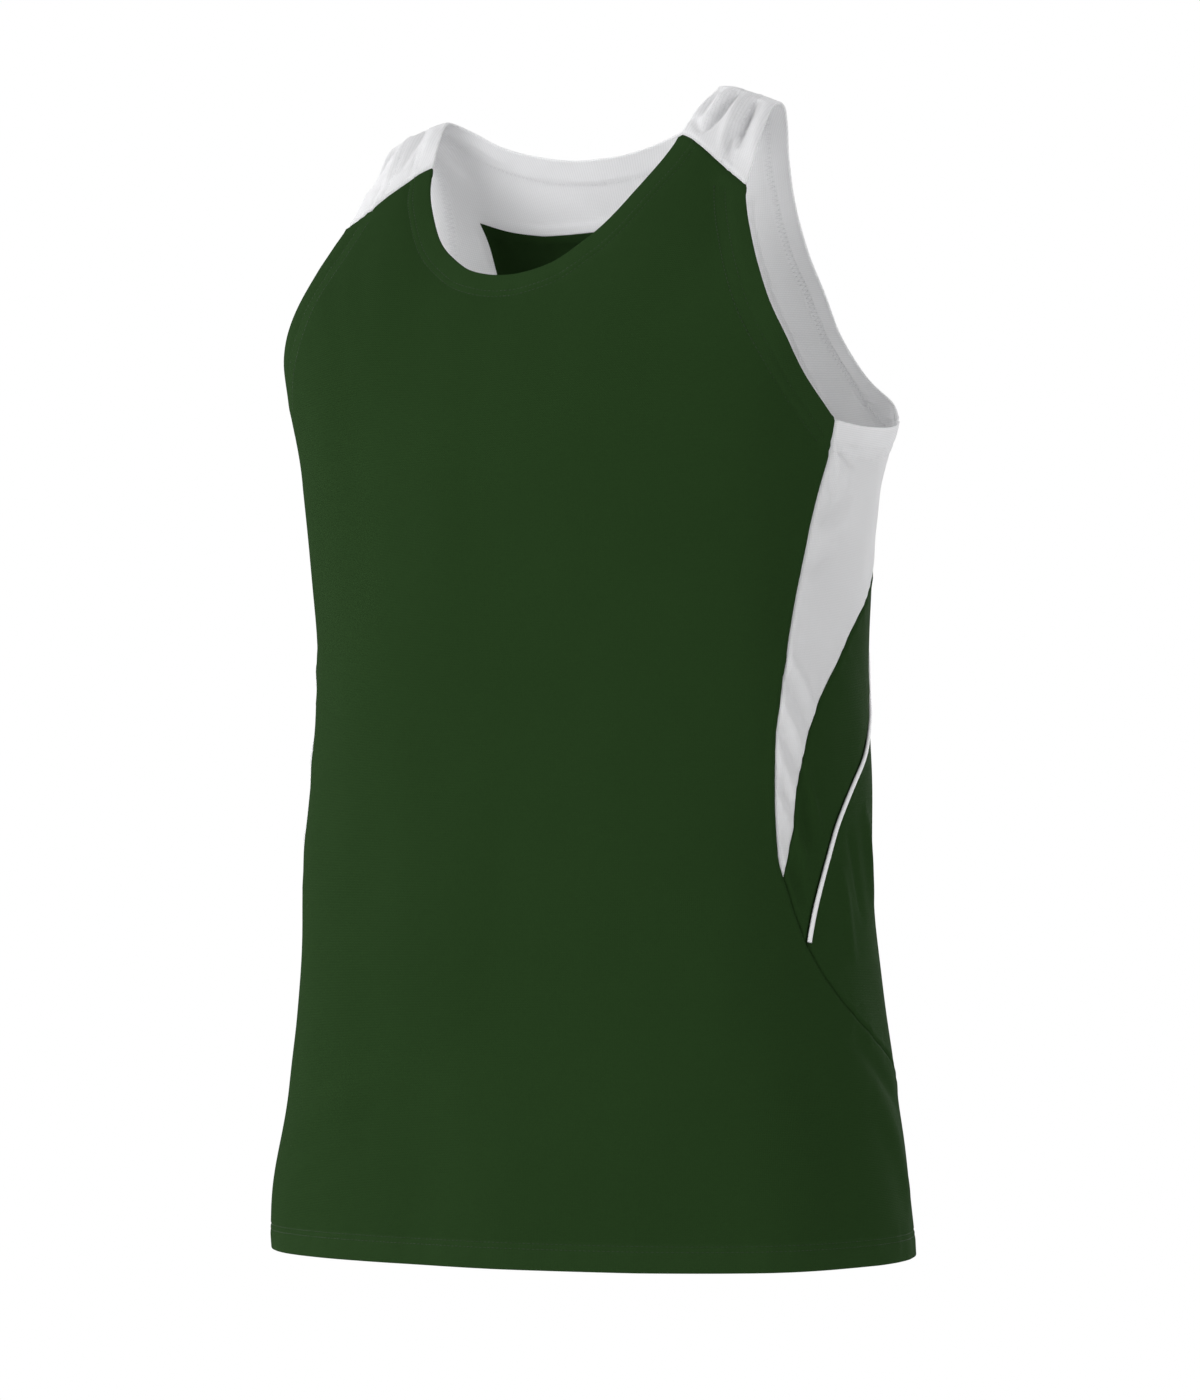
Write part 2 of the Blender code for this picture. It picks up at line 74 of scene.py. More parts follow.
outwards = Vector((math.sin(CAMERA_TURN), -math.cos(CAMERA_TURN), 0.0))
sideways = Vector((math.cos(CAMERA_TURN), math.sin(CAMERA_TURN), 0.0))
looking = -outwards * math.cos(CAMERA_TILT) + Vector((0.0, 0.0, math.sin(CAMERA_TILT)))
camera = bpy.data.objects.new("camera", bpy.data.cameras.new("camera"))
camera.data.sensor_width = SENSOR
camera.data.lens = FOCAL_PIXELS / PICTURE_HEIGHT * SENSOR
camera.location = outwards * CAMERA_DISTANCE + sideways * CAMERA_ASIDE
camera.location.z = CAMERA_ABOVE_HEM - LENGTH
camera.rotation_mode = "QUATERNION"
camera.rotation_quaternion = looking.to_track_quat("-Z", "Y")
bpy.context.scene.collection.objects.link(camera)
bpy.context.scene.camera = camera
print("lens in mm:", round(camera.data.lens, 1))

# %% [markdown]
# ## Colours and nodes
# Colours are written as the sRGB hex values that a screen shows. Blender's sockets want
# linear light, so one function turns them. One more function adds a node, gives it its
# settings and joins its inputs, and every tree below is built with it.

# %% Helpers for colours and nodes
def linear(hex_colour):
    """An sRGB hex colour as linear red, green, blue and alpha."""
    shares = [int(hex_colour[i : i + 2], 16) / 255 for i in (1, 3, 5)]
    return (*(s / 12.92 if s <= 0.04045 else ((s + 0.055) / 1.055) ** 2.4 for s in shares), 1.0)


def add_node(tree, kind, inputs=(), out=0, **settings):
    """Adds a node and gives back one of its outputs. Its inputs are values or other outputs
    to join to them, in order or by name."""
    made = tree.nodes.new(kind)
    for name, value in settings.items():
        setattr(made, name, value)
    for name, value in inputs.items() if isinstance(inputs, dict) else enumerate(inputs):
        if isinstance(value, bpy.types.NodeSocket):
            tree.links.new(value, made.inputs[name])
        else:
            made.inputs[name].default_value = value
    return made.outputs[out] if made.outputs else made


def new_material(name):
    made = bpy.data.materials.new(name)
    made.use_nodes = True
    made.node_tree.nodes.clear()
    return made


def add_object(name, mesh):
    made = bpy.data.objects.new(name, mesh)
    bpy.context.scene.collection.objects.link(made)
    return made


# %% [markdown]
# ## The studio
# A plain pale floor lies well below the hem and fades into a white surround. The surround
# is white where the camera sees it, and dimmer as a light, as in a white room whose walls
# are lit from behind. Of four tall softboxes, two stand in front, one on the left and one
# behind on the right. The last two brighten both edges of the singlet, and leave the near
# side of its front darkest.

# %% The studio
ROOM_LIGHT, CEILING_LIGHT = 0.28, 0.50  # from the walls, and from straight above
WHITE_LIGHT = (1.0, 1.0, 1.0, 1.0)

scene = bpy.context.scene
scene.view_settings.view_transform = "Standard"


def light_room():
    """White walls for the camera, and a soft light that is stronger from above."""
    room = bpy.data.worlds.new("white_room")
    room.use_nodes = True
    scene.world = room
    tree = room.node_tree
    tree.nodes.clear()
    way = add_node(tree, "ShaderNodeTexCoord", out="Generated")
    height = add_node(tree, "ShaderNodeSeparateXYZ", (way,), out="Z")
    ends = {"Value": height, "To Min": ROOM_LIGHT, "To Max": CEILING_LIGHT}
    strength = add_node(tree, "ShaderNodeMapRange", ends)
    lit = add_node(tree, "ShaderNodeBackground", {"Color": WHITE_LIGHT, "Strength": strength})
    seen = add_node(tree, "ShaderNodeBackground", {"Color": WHITE_LIGHT, "Strength": 1.0})
    to_camera = add_node(tree, "ShaderNodeLightPath", out="Is Camera Ray")
    both = add_node(tree, "ShaderNodeMixShader", (to_camera, lit, seen))
    add_node(tree, "ShaderNodeOutputWorld", {"Surface": both})


light_room()

# %% The floor
FLOOR_BELOW_HEM = 0.70
FLOOR_SOLID, FLOOR_FADED = 2.2, 4.4  # radii of the floor's plain part and of its end
FLOOR_SIDES = 96


def floor_paint():
    """Matt white studio paint, which thins out to nothing towards the floor's edge."""
    paint = new_material("matt_studio_paint")
    tree = paint.node_tree
    place = add_node(tree, "ShaderNodeTexCoord", out="Object")
    away = add_node(tree, "ShaderNodeVectorMath", (place,), out="Value", operation="LENGTH")
    radii = {"Value": away, "From Min": FLOOR_SOLID, "From Max": FLOOR_FADED}
    share = add_node(tree, "ShaderNodeMapRange", radii, interpolation_type="SMOOTHSTEP")
    matt = add_node(tree, "ShaderNodeBsdfDiffuse", {"Color": linear("#EFEFEF")})
    gone = add_node(tree, "ShaderNodeBsdfTransparent")
    mixed = add_node(tree, "ShaderNodeMixShader", (share, matt, gone))
    add_node(tree, "ShaderNodeOutputMaterial", {"Surface": mixed})
    return paint


def round_floor():
    turns = [2 * math.pi * k / FLOOR_SIDES for k in range(FLOOR_SIDES)]
    mesh = bpy.data.meshes.new("floor")
    rim = [(FLOOR_FADED * math.cos(t), FLOOR_FADED * math.sin(t), 0.0) for t in turns]
    mesh.from_pydata(rim, [], [tuple(range(FLOOR_SIDES))])
    mesh.materials.append(floor_paint())
    floor = add_object("floor", mesh)
    floor.location.z = -LENGTH - FLOOR_BELOW_HEM


round_floor()

# %% The softboxes
SOFTBOX_WIDTH, SOFTBOX_TALL = 1.4, 2.4
SOFTBOX_AWAY = 2.6
Softbox = namedtuple("Softbox", "name turn height watts")
SOFTBOXES = (  # turn is in degrees from the camera round to its right, height a share of the way
    Softbox("softbox_front_left", -50.0, 0.3, 52.0),
    Softbox("softbox_front_right", 50.0, 0.3, 31.0),
    Softbox("softbox_left", -110.0, 0.3, 46.0),
    Softbox("softbox_behind", 150.0, 0.5, 66.0),
)


def add_softbox(row):
    light = bpy.data.lights.new(row.name, "AREA")
    light.shape = "RECTANGLE"
    light.size, light.size_y = SOFTBOX_WIDTH, SOFTBOX_TALL
    light.energy = row.watts
    made = add_object(row.name, light)
    turn = CAMERA_TURN + math.radians(row.turn)
    middle = Vector((0.0, 0.0, -LENGTH / 2))
    away = Vector((math.sin(turn), -math.cos(turn), row.height))
    made.location = middle + away * SOFTBOX_AWAY
    made.rotation_mode = "QUATERNION"
    made.rotation_quaternion = (-away).to_track_quat("-Z", "Y")


for row in SOFTBOXES:
    add_softbox(row)
print("softboxes:", [row.name for row in SOFTBOXES])

# %% [markdown]
# ## The form of the worn cloth
# A worn singlet is a tube up to the chest and a dome above it, with the shoulder ridge
# along its top. Every panel is a cut-out of this one surface, so it is worked out once. A
# place on it is (u, v): u is the way round, as an angle times a mean radius, with 0 at the
# centre front, and v is the way up the cloth from the hem. Past RIDGE_RISE the cloth runs
# over the shoulder and down the other side. The sizes are those of the CAD solids, but for
# the shoulder ridge, which is rounded off up to 3 mm lower, so the cloth lies where they do.

# %% The form's sizes
CHEST_RISE = 0.480  # a tube up to here and a dome above
DOME_RUN = 0.245
RIDGE_RISE = CHEST_RISE + DOME_RUN
RIDGE_BACK = 0.002
GIRTH_RADIUS = 0.165

Ring = namedtuple("Ring", "rise half_width front back front_fullness back_fullness")
RINGS = (  # fullness 0 makes a section an ellipse; more makes its corners fuller
    Ring(0.000, 0.2060, 0.139, 0.152, 0.030, 0.030),
    Ring(0.100, 0.1950, 0.129, 0.146, 0.030, 0.030),
    Ring(0.190, 0.1850, 0.125, 0.130, 0.030, 0.030),
    Ring(0.280, 0.1835, 0.118, 0.128, 0.030, 0.030),
    Ring(0.380, 0.1835, 0.114, 0.130, 0.030, 0.030),
    Ring(0.480, 0.1910, 0.114, 0.125, 0.034, 0.030),
    Ring(0.520, 0.1940, 0.116, 0.110, 0.050, 0.025),
    Ring(0.560, 0.2000, 0.110, 0.084, 0.075, 0.010),
    Ring(0.600, 0.2080, 0.099, 0.060, 0.070, 0.000),
    Ring(0.640, 0.2200, 0.086, 0.046, 0.050, 0.005),
    Ring(0.725, 0.2350, 0.078, 0.042, 0.030, 0.030),
)
Ridge = namedtuple("Ridge", "across height")
SHOULDER_RIDGE = (
    Ridge(0.000, 0.702),
    Ridge(0.050, 0.708),
    Ridge(0.100, 0.7195),
    Ridge(0.143, 0.7040),
    Ridge(0.190, 0.680),
    Ridge(0.260, 0.640),
)


def table_curve(rows):
    """A function that reads a table's later columns, smoothed, at values of its first."""
    table = np.array(rows, float)
    at, columns = table[:, 0], table[:, 1:]
    slopes = np.zeros_like(columns)
    slopes[1:-1] = (columns[2:] - columns[:-2]) / (at[2:] - at[:-2])[:, None]

    def read(values):
        values = np.clip(values, at[0], at[-1])
        i = np.clip(np.searchsorted(at, values) - 1, 0, len(at) - 2)
        span = (at[i + 1] - at[i])[:, None]
        t = (values - at[i])[:, None] / span
        return (
            columns[i] * (1 + 2 * t) * (1 - t) ** 2
            + slopes[i] * span * t * (1 - t) ** 2
            + columns[i + 1] * t * t * (3 - 2 * t)
            + slopes[i + 1] * span * t * t * (t - 1)
        )

    return read


ring_at = table_curve(RINGS)
ridge_at = table_curve(SHOULDER_RIDGE)
FRONT_FULLNESS, BACK_FULLNESS = 3, 4  # their places among ring_at()'s columns


# %% The form itself
def section(angle, fullness):
    """(sideways, forward) of a unit section."""
    sideways = np.sin(angle) + fullness * np.sin(3 * angle)
    forward = np.cos(angle) - fullness * np.cos(3 * angle)
    return sideways / (1 - fullness), forward / (1 - fullness)


def smooth_form(flat):
    """The points of the form, before it is folded, at places of the flat layout."""
    angle, rise = flat[:, 0] / GIRTH_RADIUS, flat[:, 1]
    level = np.minimum(rise, 2 * RIDGE_RISE - rise)
    half_width, front, back, front_fullness, back_fullness = ring_at(level).T
    turn = np.maximum(0.0, (rise - CHEST_RISE) / DOME_RUN) * math.pi / 2
    lean = np.cos(turn)
    at_front = np.cos(angle) * lean > 0
    sideways, forward = section(angle, np.where(at_front, front_fullness, back_fullness))
    x = half_width * sideways
    y = (back - front) / 2 * lean**2 - (back + front) / 2 * forward * lean
    y += RIDGE_BACK * np.sin(turn) ** 2
    foot = np.minimum(level, CHEST_RISE)
    z = foot + (ridge_at(np.abs(x))[:, 0] - CHEST_RISE) * np.sin(turn)
    return np.stack([x, y, z - LENGTH], axis=1)


def form_slopes(flat, step=1e-4):
    """How the form moves per metre of u and per metre of v."""
    u_step, v_step = np.array([step, 0.0]), np.array([0.0, step])
    along = smooth_form(flat + u_step) - smooth_form(flat - u_step)
    up = smooth_form(flat + v_step) - smooth_form(flat - v_step)
    return along / (2 * step), up / (2 * step)


def outward(flat):
    normal = np.cross(*form_slopes(flat))
    return normal / np.linalg.norm(normal, axis=1)[:, None]


test_places = np.array([[0.0, 0.0], [0.0, CHEST_RISE], [math.pi / 2 * GIRTH_RADIUS, CHEST_RISE]])
print("centre front hem, chest and side in mm:", (smooth_form(test_places) / MM).round().tolist())

# %% [markdown]
# ## Seams and edges
# These are the maker's cut lines. Those on the front and back are given as they are seen
# square on, by their distance from the centre line and height above the hem. Those round
# the sides are given by degrees from the centre front and by rise. Each becomes one smooth
# line of the flat layout, and two panels that meet share the same line. They are the CAD
# panels' lines, except round the straps, where they curve a few millimetres beside them.

# %% The cut lines' knots
# Places of the front and back: distance from the centre line, and height above the hem.
FRONT_NECK = (  # centre front to the shoulder seam
    (0.000, 0.5972), (0.028, 0.6022), (0.048, 0.6145), (0.063, 0.6290), (0.077, 0.6510),
    (0.086, 0.6680), (0.0920, 0.6840),
)
SHOULDER_SEAM = (  # neck end to armhole end
    (0.0920, 0.6840), (0.1170, 0.6675), (0.1425, 0.6472),
)
FRONT_ARMHOLE = (  # shoulder seam down to the side insert
    (0.1425, 0.6472), (0.1460, 0.6360), (0.1530, 0.6180), (0.1625, 0.5940), (0.1708, 0.5700),
    (0.1780, 0.5470), (0.1835, 0.5240),
)
BACK_NECK = (  # the ridge to the centre back
    (0.1010, 0.7250), (0.0820, 0.7095), (0.0500, 0.6955), (0.0250, 0.6900), (0.0000, 0.6885),
)
BACK_ARMHOLE = (  # near the side insert up to the ridge
    (0.1655, 0.5410), (0.1517, 0.5660), (0.1450, 0.5910), (0.1392, 0.6150), (0.1354, 0.6390),
    (0.1336, 0.6630), (0.1345, 0.6880), (0.1385, 0.7120),
)
YOKE_SEAM = (  # centre back out to the corner beside the armhole
    (0.0000, 0.6480), (0.0270, 0.6470), (0.0550, 0.6480), (0.0800, 0.6535), (0.0980, 0.6600),
)
YOKE_BAND = (  # that corner down beside the armhole to the piping
    (0.0980, 0.6600), (0.0945, 0.6440), (0.0945, 0.6210), (0.0965, 0.5970), (0.1025, 0.5730),
    (0.1105, 0.5480),
)

# Places round the sides: degrees from the centre front, and rise.
UNDERARM_FRONT = (77.4, 0.497)
UNDERARM_MIDDLE = (95.0, 0.4970)
UNDERARM_BACK = (114.0, 0.503)
INSERT_FRONT = (
    (76.3, 0.488), (72.1, 0.454), (68.4, 0.406), (64.0, 0.358), (61.2, 0.310), (61.2, 0.274),
    (63.0, 0.242),
)
INSERT_TIP = (65.0, 0.229)
INSERT_BACK = (
    (66.2, 0.245), (68.2, 0.287), (70.9, 0.311), (75.7, 0.335), (84.7, 0.360), (95.0, 0.385),
)
SIDE_CORNER = (112.5, 0.416)
YOKE_SIDE = (126.0, 0.450)
PIPING_FOOT = (72.6, 0.189)
PIPING_LINE = (
    (76.0, 0.216), (79.5, 0.240), (83.9, 0.264), (91.6, 0.288), (102.4, 0.314), (116.0, 0.352),
    (129.0, 0.412),
)
PIPING_TOP = (138.0, 0.488)
LOW_SEAM = (
    (81.8, 0.156), (93.5, 0.133), (103.5, 0.121), (120.0, 0.093), (138.0, 0.045),
)
SEAM_AT_HEM = (148.0, 0.000)


# %% From knots to lines of the flat layout
HALVINGS = 40  # enough to find an angle to its last digit


def squared_on(spots, fullness_column):
    """Places (angle, rise) of spots given by their distance from the centre and height."""
    aside, height = np.array(spots, float).T
    climb = (height - CHEST_RISE) / (ridge_at(aside)[:, 0] - CHEST_RISE)
    rise = CHEST_RISE + DOME_RUN * np.arcsin(np.clip(climb, 0.0, 1.0)) / (math.pi / 2)
    columns = ring_at(rise)
    share, fullness = aside / columns[:, 0], columns[:, fullness_column]
    low, high = np.zeros(len(share)), np.full(len(share), math.pi / 2)
    for _ in range(HALVINGS):
        middle = (low + high) / 2
        short = section(middle, fullness)[0] < share
        low, high = np.where(short, middle, low), np.where(short, high, middle)
    return np.stack([low, rise], axis=1)


def on_front(spots):
    return squared_on(spots, FRONT_FULLNESS)


def on_back(spots):
    return squared_on(spots, BACK_FULLNESS) * (-1, 1) + (math.pi, 0)


def over_ridge(places):
    """The same places, counted over the shoulder from the other side."""
    return places * -1 + (math.pi, 2 * RIDGE_RISE)


def at_turns(*turns):
    return np.array([(math.radians(degrees), rise) for degrees, rise in turns])


LINE_SPANS = 12  # points from one knot to the next


def smooth_line(*parts):
    """A smooth line of the flat layout through places given as (angle, rise)."""
    knots = np.vstack(parts) * (GIRTH_RADIUS, 1)
    padded = np.vstack([knots[:1], knots, knots[-1:]])
    before, start, end, after = padded[:-3], padded[1:-2], padded[2:-1], padded[3:]
    runs = []
    for step in range(LINE_SPANS):
        t = step / LINE_SPANS
        runs.append(
            0.5
            * (
                2 * start
                + (end - before) * t
                + (2 * before - 5 * start + 4 * end - after) * t**2
                + (3 * start - before - 3 * end + after) * t**3
            )
        )
    return np.vstack([np.stack(runs, axis=1).reshape(-1, 2), knots[-1:]])


def from_centre(places):
    """The same for a line that crosses the centre front, where it is level."""
    return smooth_line(places[1:2] * (-1, 1), places)[LINE_SPANS:]


seam_places, arm_places = on_front(SHOULDER_SEAM), on_front(FRONT_ARMHOLE)
underarm = at_turns(UNDERARM_FRONT, UNDERARM_MIDDLE, UNDERARM_BACK)
CUTS = {
    "front_neck": from_centre(on_front(FRONT_NECK)),
    "shoulder": smooth_line(seam_places),
    "shoulder_over": smooth_line(over_ridge(seam_places)),
    "front_arm": smooth_line(arm_places, underarm[:1]),
    "under_arm": smooth_line(underarm),
    "back_arm": smooth_line(underarm[-1:], on_back(BACK_ARMHOLE), over_ridge(seam_places[-1:])),
    "back_neck": smooth_line(over_ridge(seam_places[:1]), on_back(BACK_NECK)),
    "insert_front": smooth_line(at_turns(UNDERARM_FRONT, *INSERT_FRONT, INSERT_TIP)),
    "insert_back": smooth_line(at_turns(INSERT_TIP, *INSERT_BACK, SIDE_CORNER)),
    "insert_side": smooth_line(at_turns(UNDERARM_BACK, SIDE_CORNER)),
    "piping": smooth_line(at_turns(PIPING_FOOT, *PIPING_LINE, PIPING_TOP)),
    "tip_to_piping": smooth_line(at_turns(INSERT_TIP, PIPING_FOOT)),
    "low_seam": smooth_line(at_turns(PIPING_FOOT, *LOW_SEAM, SEAM_AT_HEM)),
    "yoke_side": smooth_line(at_turns(SIDE_CORNER, YOKE_SIDE, PIPING_TOP)),
    "yoke_band": smooth_line(at_turns(PIPING_TOP), on_back(YOKE_BAND[::-1])),
    "yoke_top": smooth_line(on_back(YOKE_SEAM[::-1])),
    "front_hem": smooth_line(at_turns((0.0, 0.0), SEAM_AT_HEM)),
    "back_hem": smooth_line(at_turns(SEAM_AT_HEM, (180.0, 0.0))),
}


def real_lengths(line):
    """The distance along the cloth from a flat line's start to each of its points."""
    steps = np.linalg.norm(np.diff(smooth_form(line), axis=0), axis=1)
    return np.concatenate([[0.0], np.cumsum(steps)])


for name, line in CUTS.items():
    print(f"{name}: {real_lengths(line)[-1] / MM:.0f} mm")

# %% [markdown]
# ## Folds
# The panels are cut nearly to the body, so most of the cloth is smooth. It gathers on the
# straps, pulls in short drags across the narrow ends of the side wedges, and hangs in soft
# folds above the hem. Each fold is a row of this table: a curve through three places of
# the layout, and how wide and how high it is. A height below 0 is a trough. Folds on one
# side fade out at their ends. A cloth simulation would put the folds where it liked.
# Placed one by one, they lie where the real ones do.

# %% The folds' table
Fold = namedtuple("Fold", "side angle rise via_angle via_rise end_angle end_rise width height")
FOLDS = (  # side 1 is the wearer's left, -1 the right, 0 both; degrees, metres, then mm for two
    # the cloth stands off the body under the arm
    Fold(0, 97.0, 0.506, 107.0, 0.507, 117.0, 0.507, 18.5, 11.5),
    # gathers along the left strap, below its ridge on the front
    Fold(1, 30.2, 0.700, 30.4, 0.664, 30.8, 0.634, 2.6, -6.2),
    Fold(1, 30.4, 0.656, 29.2, 0.640, 30.4, 0.622, 2.3, -4.0),
    Fold(1, 27.8, 0.702, 27.7, 0.660, 28.4, 0.626, 3.2, 3.4),
    Fold(1, 26.4, 0.708, 26.0, 0.670, 24.0, 0.640, 2.4, -5.0),
    Fold(1, 24.8, 0.700, 24.3, 0.676, 23.9, 0.652, 2.1, 1.6),
    Fold(1, 21.4, 0.657, 22.4, 0.648, 24.0, 0.638, 2.3, -2.4),
    Fold(1, 31.9, 0.702, 32.9, 0.660, 33.2, 0.628, 3.0, 2.8),
    Fold(1, 33.9, 0.698, 34.5, 0.666, 34.8, 0.640, 2.4, -2.4),
    Fold(1, 23.2, 0.706, 22.7, 0.682, 22.4, 0.654, 2.7, -4.0),
    Fold(1, 29.0, 0.752, 27.0, 0.780, 23.5, 0.812, 4.0, -2.8),
    Fold(1, 25.6, 0.750, 24.0, 0.776, 21.0, 0.800, 4.2, 1.8),
    Fold(1, 23.0, 0.752, 20.6, 0.770, 17.0, 0.786, 3.6, -2.2),
    # the same along the right strap, fainter
    Fold(-1, 31.2, 0.702, 32.8, 0.668, 34.2, 0.640, 3.0, -3.2),
    Fold(-1, 28.6, 0.704, 29.4, 0.672, 31.0, 0.638, 3.0, 2.0),
    Fold(-1, 26.4, 0.706, 26.5, 0.676, 27.2, 0.642, 2.8, -2.6),
    Fold(-1, 23.6, 0.692, 23.2, 0.672, 23.4, 0.652, 3.0, 1.4),
    Fold(-1, 29.6, 0.750, 28.0, 0.780, 25.0, 0.816, 4.2, -2.6),
    Fold(-1, 25.0, 0.752, 22.0, 0.772, 17.8, 0.792, 3.8, -2.0),
    # the chest beside the armholes
    Fold(-1, 28.5, 0.606, 26.5, 0.570, 24.0, 0.530, 8.5, -1.2),
    Fold(-1, 33.5, 0.600, 31.0, 0.560, 29.0, 0.520, 8.0, -1.0),
    Fold(1, 28.0, 0.616, 31.5, 0.585, 36.5, 0.548, 9.0, -1.3),
    Fold(1, 33.0, 0.612, 38.0, 0.575, 46.0, 0.535, 8.0, 1.0),
    # puckers just under the wedge's hem
    Fold(1, 76.6, 0.485, 78.2, 0.478, 79.6, 0.468, 2.9, 2.8),
    Fold(1, 79.0, 0.484, 81.2, 0.476, 83.4, 0.465, 2.9, 2.5),
    Fold(1, 77.6, 0.485, 81.6, 0.482, 87.0, 0.477, 2.8, -2.4),
    Fold(1, 75.6, 0.470, 77.2, 0.463, 79.0, 0.454, 3.4, -2.6),
    # soft slants across the wedge's wide part
    Fold(1, 73.6, 0.440, 79.0, 0.452, 87.0, 0.463, 5.2, -2.6),
    Fold(1, 72.0, 0.428, 78.6, 0.437, 86.0, 0.447, 5.0, 2.2),
    Fold(1, 69.6, 0.408, 75.6, 0.417, 82.0, 0.426, 5.4, -2.4),
    Fold(-1, 73.0, 0.434, 79.0, 0.443, 87.0, 0.452, 5.2, -1.6),
    Fold(-1, 70.0, 0.410, 75.4, 0.420, 82.0, 0.430, 5.4, 1.4),
    # two fainter puckers under the right wedge's hem
    Fold(-1, 77.4, 0.485, 80.6, 0.479, 83.2, 0.469, 3.2, -1.0),
    Fold(-1, 92.0, 0.482, 95.4, 0.475, 98.0, 0.464, 3.6, -0.8),
    # drags across the wedge's narrow end
    Fold(1, 64.0, 0.360, 69.0, 0.344, 73.6, 0.325, 4.0, 2.6),
    Fold(1, 63.0, 0.349, 67.2, 0.333, 71.6, 0.314, 3.8, -2.4),
    Fold(1, 62.2, 0.333, 66.0, 0.317, 69.8, 0.301, 3.8, 2.6),
    Fold(1, 61.8, 0.318, 65.0, 0.303, 68.4, 0.288, 3.4, -2.4),
    Fold(1, 61.6, 0.302, 64.2, 0.289, 67.2, 0.275, 3.4, 2.4),
    Fold(1, 61.8, 0.288, 63.8, 0.277, 66.4, 0.265, 3.0, -2.0),
    Fold(1, 62.2, 0.276, 64.0, 0.266, 66.0, 0.255, 2.8, 1.8),
    Fold(1, 63.2, 0.256, 64.4, 0.250, 65.6, 0.243, 2.6, -1.4),
    Fold(-1, 62.6, 0.366, 67.6, 0.352, 73.0, 0.335, 4.6, 1.2),
    Fold(-1, 61.6, 0.342, 65.2, 0.325, 69.4, 0.308, 4.2, -1.4),
    Fold(-1, 61.4, 0.320, 64.4, 0.306, 68.4, 0.292, 4.0, 1.2),
    Fold(-1, 61.4, 0.291, 63.6, 0.280, 66.4, 0.267, 3.6, -1.2),
    Fold(-1, 62.6, 0.264, 64.0, 0.256, 65.8, 0.248, 3.0, 0.9),
    # drags across the side panels
    Fold(1, 69.4, 0.298, 72.6, 0.275, 76.6, 0.254, 4.8, 2.6),
    Fold(1, 68.2, 0.284, 70.2, 0.264, 73.2, 0.244, 4.4, -2.6),
    Fold(1, 66.8, 0.262, 69.6, 0.245, 73.2, 0.226, 4.4, 2.6),
    Fold(1, 66.4, 0.238, 69.2, 0.226, 72.6, 0.214, 4.0, -2.4),
    Fold(-1, 68.8, 0.292, 71.0, 0.272, 74.6, 0.252, 5.0, 1.4),
    Fold(-1, 67.0, 0.260, 69.8, 0.243, 73.4, 0.228, 4.6, -1.4),
    # soft upright folds beside the piping, on the back
    Fold(1, 88.5, 0.258, 93.0, 0.238, 98.0, 0.200, 6.2, -2.2),
    Fold(1, 84.5, 0.236, 88.0, 0.212, 90.5, 0.176, 6.4, 2.4),
    Fold(1, 98.0, 0.272, 104.0, 0.250, 108.0, 0.210, 8.0, 2.5),
    Fold(-1, 87.0, 0.252, 91.0, 0.226, 94.0, 0.188, 6.6, -2.4),
    Fold(-1, 95.5, 0.262, 101.0, 0.236, 104.0, 0.195, 8.0, 2.4),
    # below the low seam
    Fold(1, 83.0, 0.134, 94.0, 0.112, 110.0, 0.084, 7.5, -2.5),
    Fold(1, 88.0, 0.100, 98.0, 0.072, 108.0, 0.030, 12.0, 2.8),
    Fold(-1, 86.0, 0.128, 98.0, 0.100, 116.0, 0.070, 8.5, -2.5),
    # low on the front
    Fold(-1, 49.0, 0.072, 32.0, 0.094, 14.0, 0.110, 11.0, 1.3),
    Fold(-1, 43.0, 0.036, 32.0, 0.054, 20.0, 0.068, 9.0, -1.2),
    Fold(-1, 47.0, 0.054, 34.0, 0.070, 20.0, 0.084, 9.0, -1.0),
    Fold(1, 66.0, 0.110, 72.0, 0.070, 75.0, 0.020, 16.0, -1.6),
    # over the middle and foot of the back
    Fold(1, 166.0, 0.590, 160.0, 0.540, 148.0, 0.500, 11.0, -1.8),
    Fold(-1, 168.0, 0.584, 158.0, 0.546, 150.0, 0.512, 10.0, -1.6),
    Fold(1, 150.0, 0.360, 162.0, 0.330, 176.0, 0.318, 13.0, 2.2),
    Fold(-1, 144.0, 0.390, 156.0, 0.352, 172.0, 0.340, 12.0, -2.0),
    Fold(1, 140.0, 0.300, 154.0, 0.282, 170.0, 0.284, 12.0, -2.0),
    Fold(-1, 136.0, 0.322, 150.0, 0.300, 166.0, 0.298, 11.0, 1.8),
    Fold(1, 158.0, 0.180, 162.0, 0.110, 160.0, 0.030, 18.0, 2.4),
    Fold(-1, 152.0, 0.150, 157.0, 0.090, 156.0, 0.020, 17.0, -2.2),
    Fold(-1, 172.0, 0.170, 175.0, 0.100, 172.0, 0.040, 16.0, 1.8),
)


# %% How far folds and drift move the cloth
CHUNK = 3000  # how many points are worked on at once


def nearest_on(line, points):
    """Distance from points to a line, the nearest places on it, and the share of the line
    where they are."""
    start, run = line[:-1], np.diff(line, axis=0)
    span = (run**2).sum(axis=1)
    found = []
    for some in np.array_split(points, len(points) // CHUNK + 1):
        share = np.clip(((some[:, None] - start) * run).sum(axis=2) / span, 0.0, 1.0)
        feet = start + share[..., None] * run
        away = np.linalg.norm(some[:, None] - feet, axis=2)
        nearest = away.argmin(axis=1)
        rows = np.arange(len(some))
        along = (nearest + share[rows, nearest]) / len(run)
        found.append((away[rows, nearest], feet[rows, nearest], along))
    return [np.concatenate(parts) for parts in zip(*found)]


FOLD_PARTS = 8  # straight parts of a fold's curve
FOLD_REACH = 3.2  # in widths
FLANK_DIP, FLANK_FALL = 0.35, 0.8  # how far the flanks dip, and how steeply they fall
FADE_POWER = 0.6  # below 1, a fold keeps its height nearer to its ends


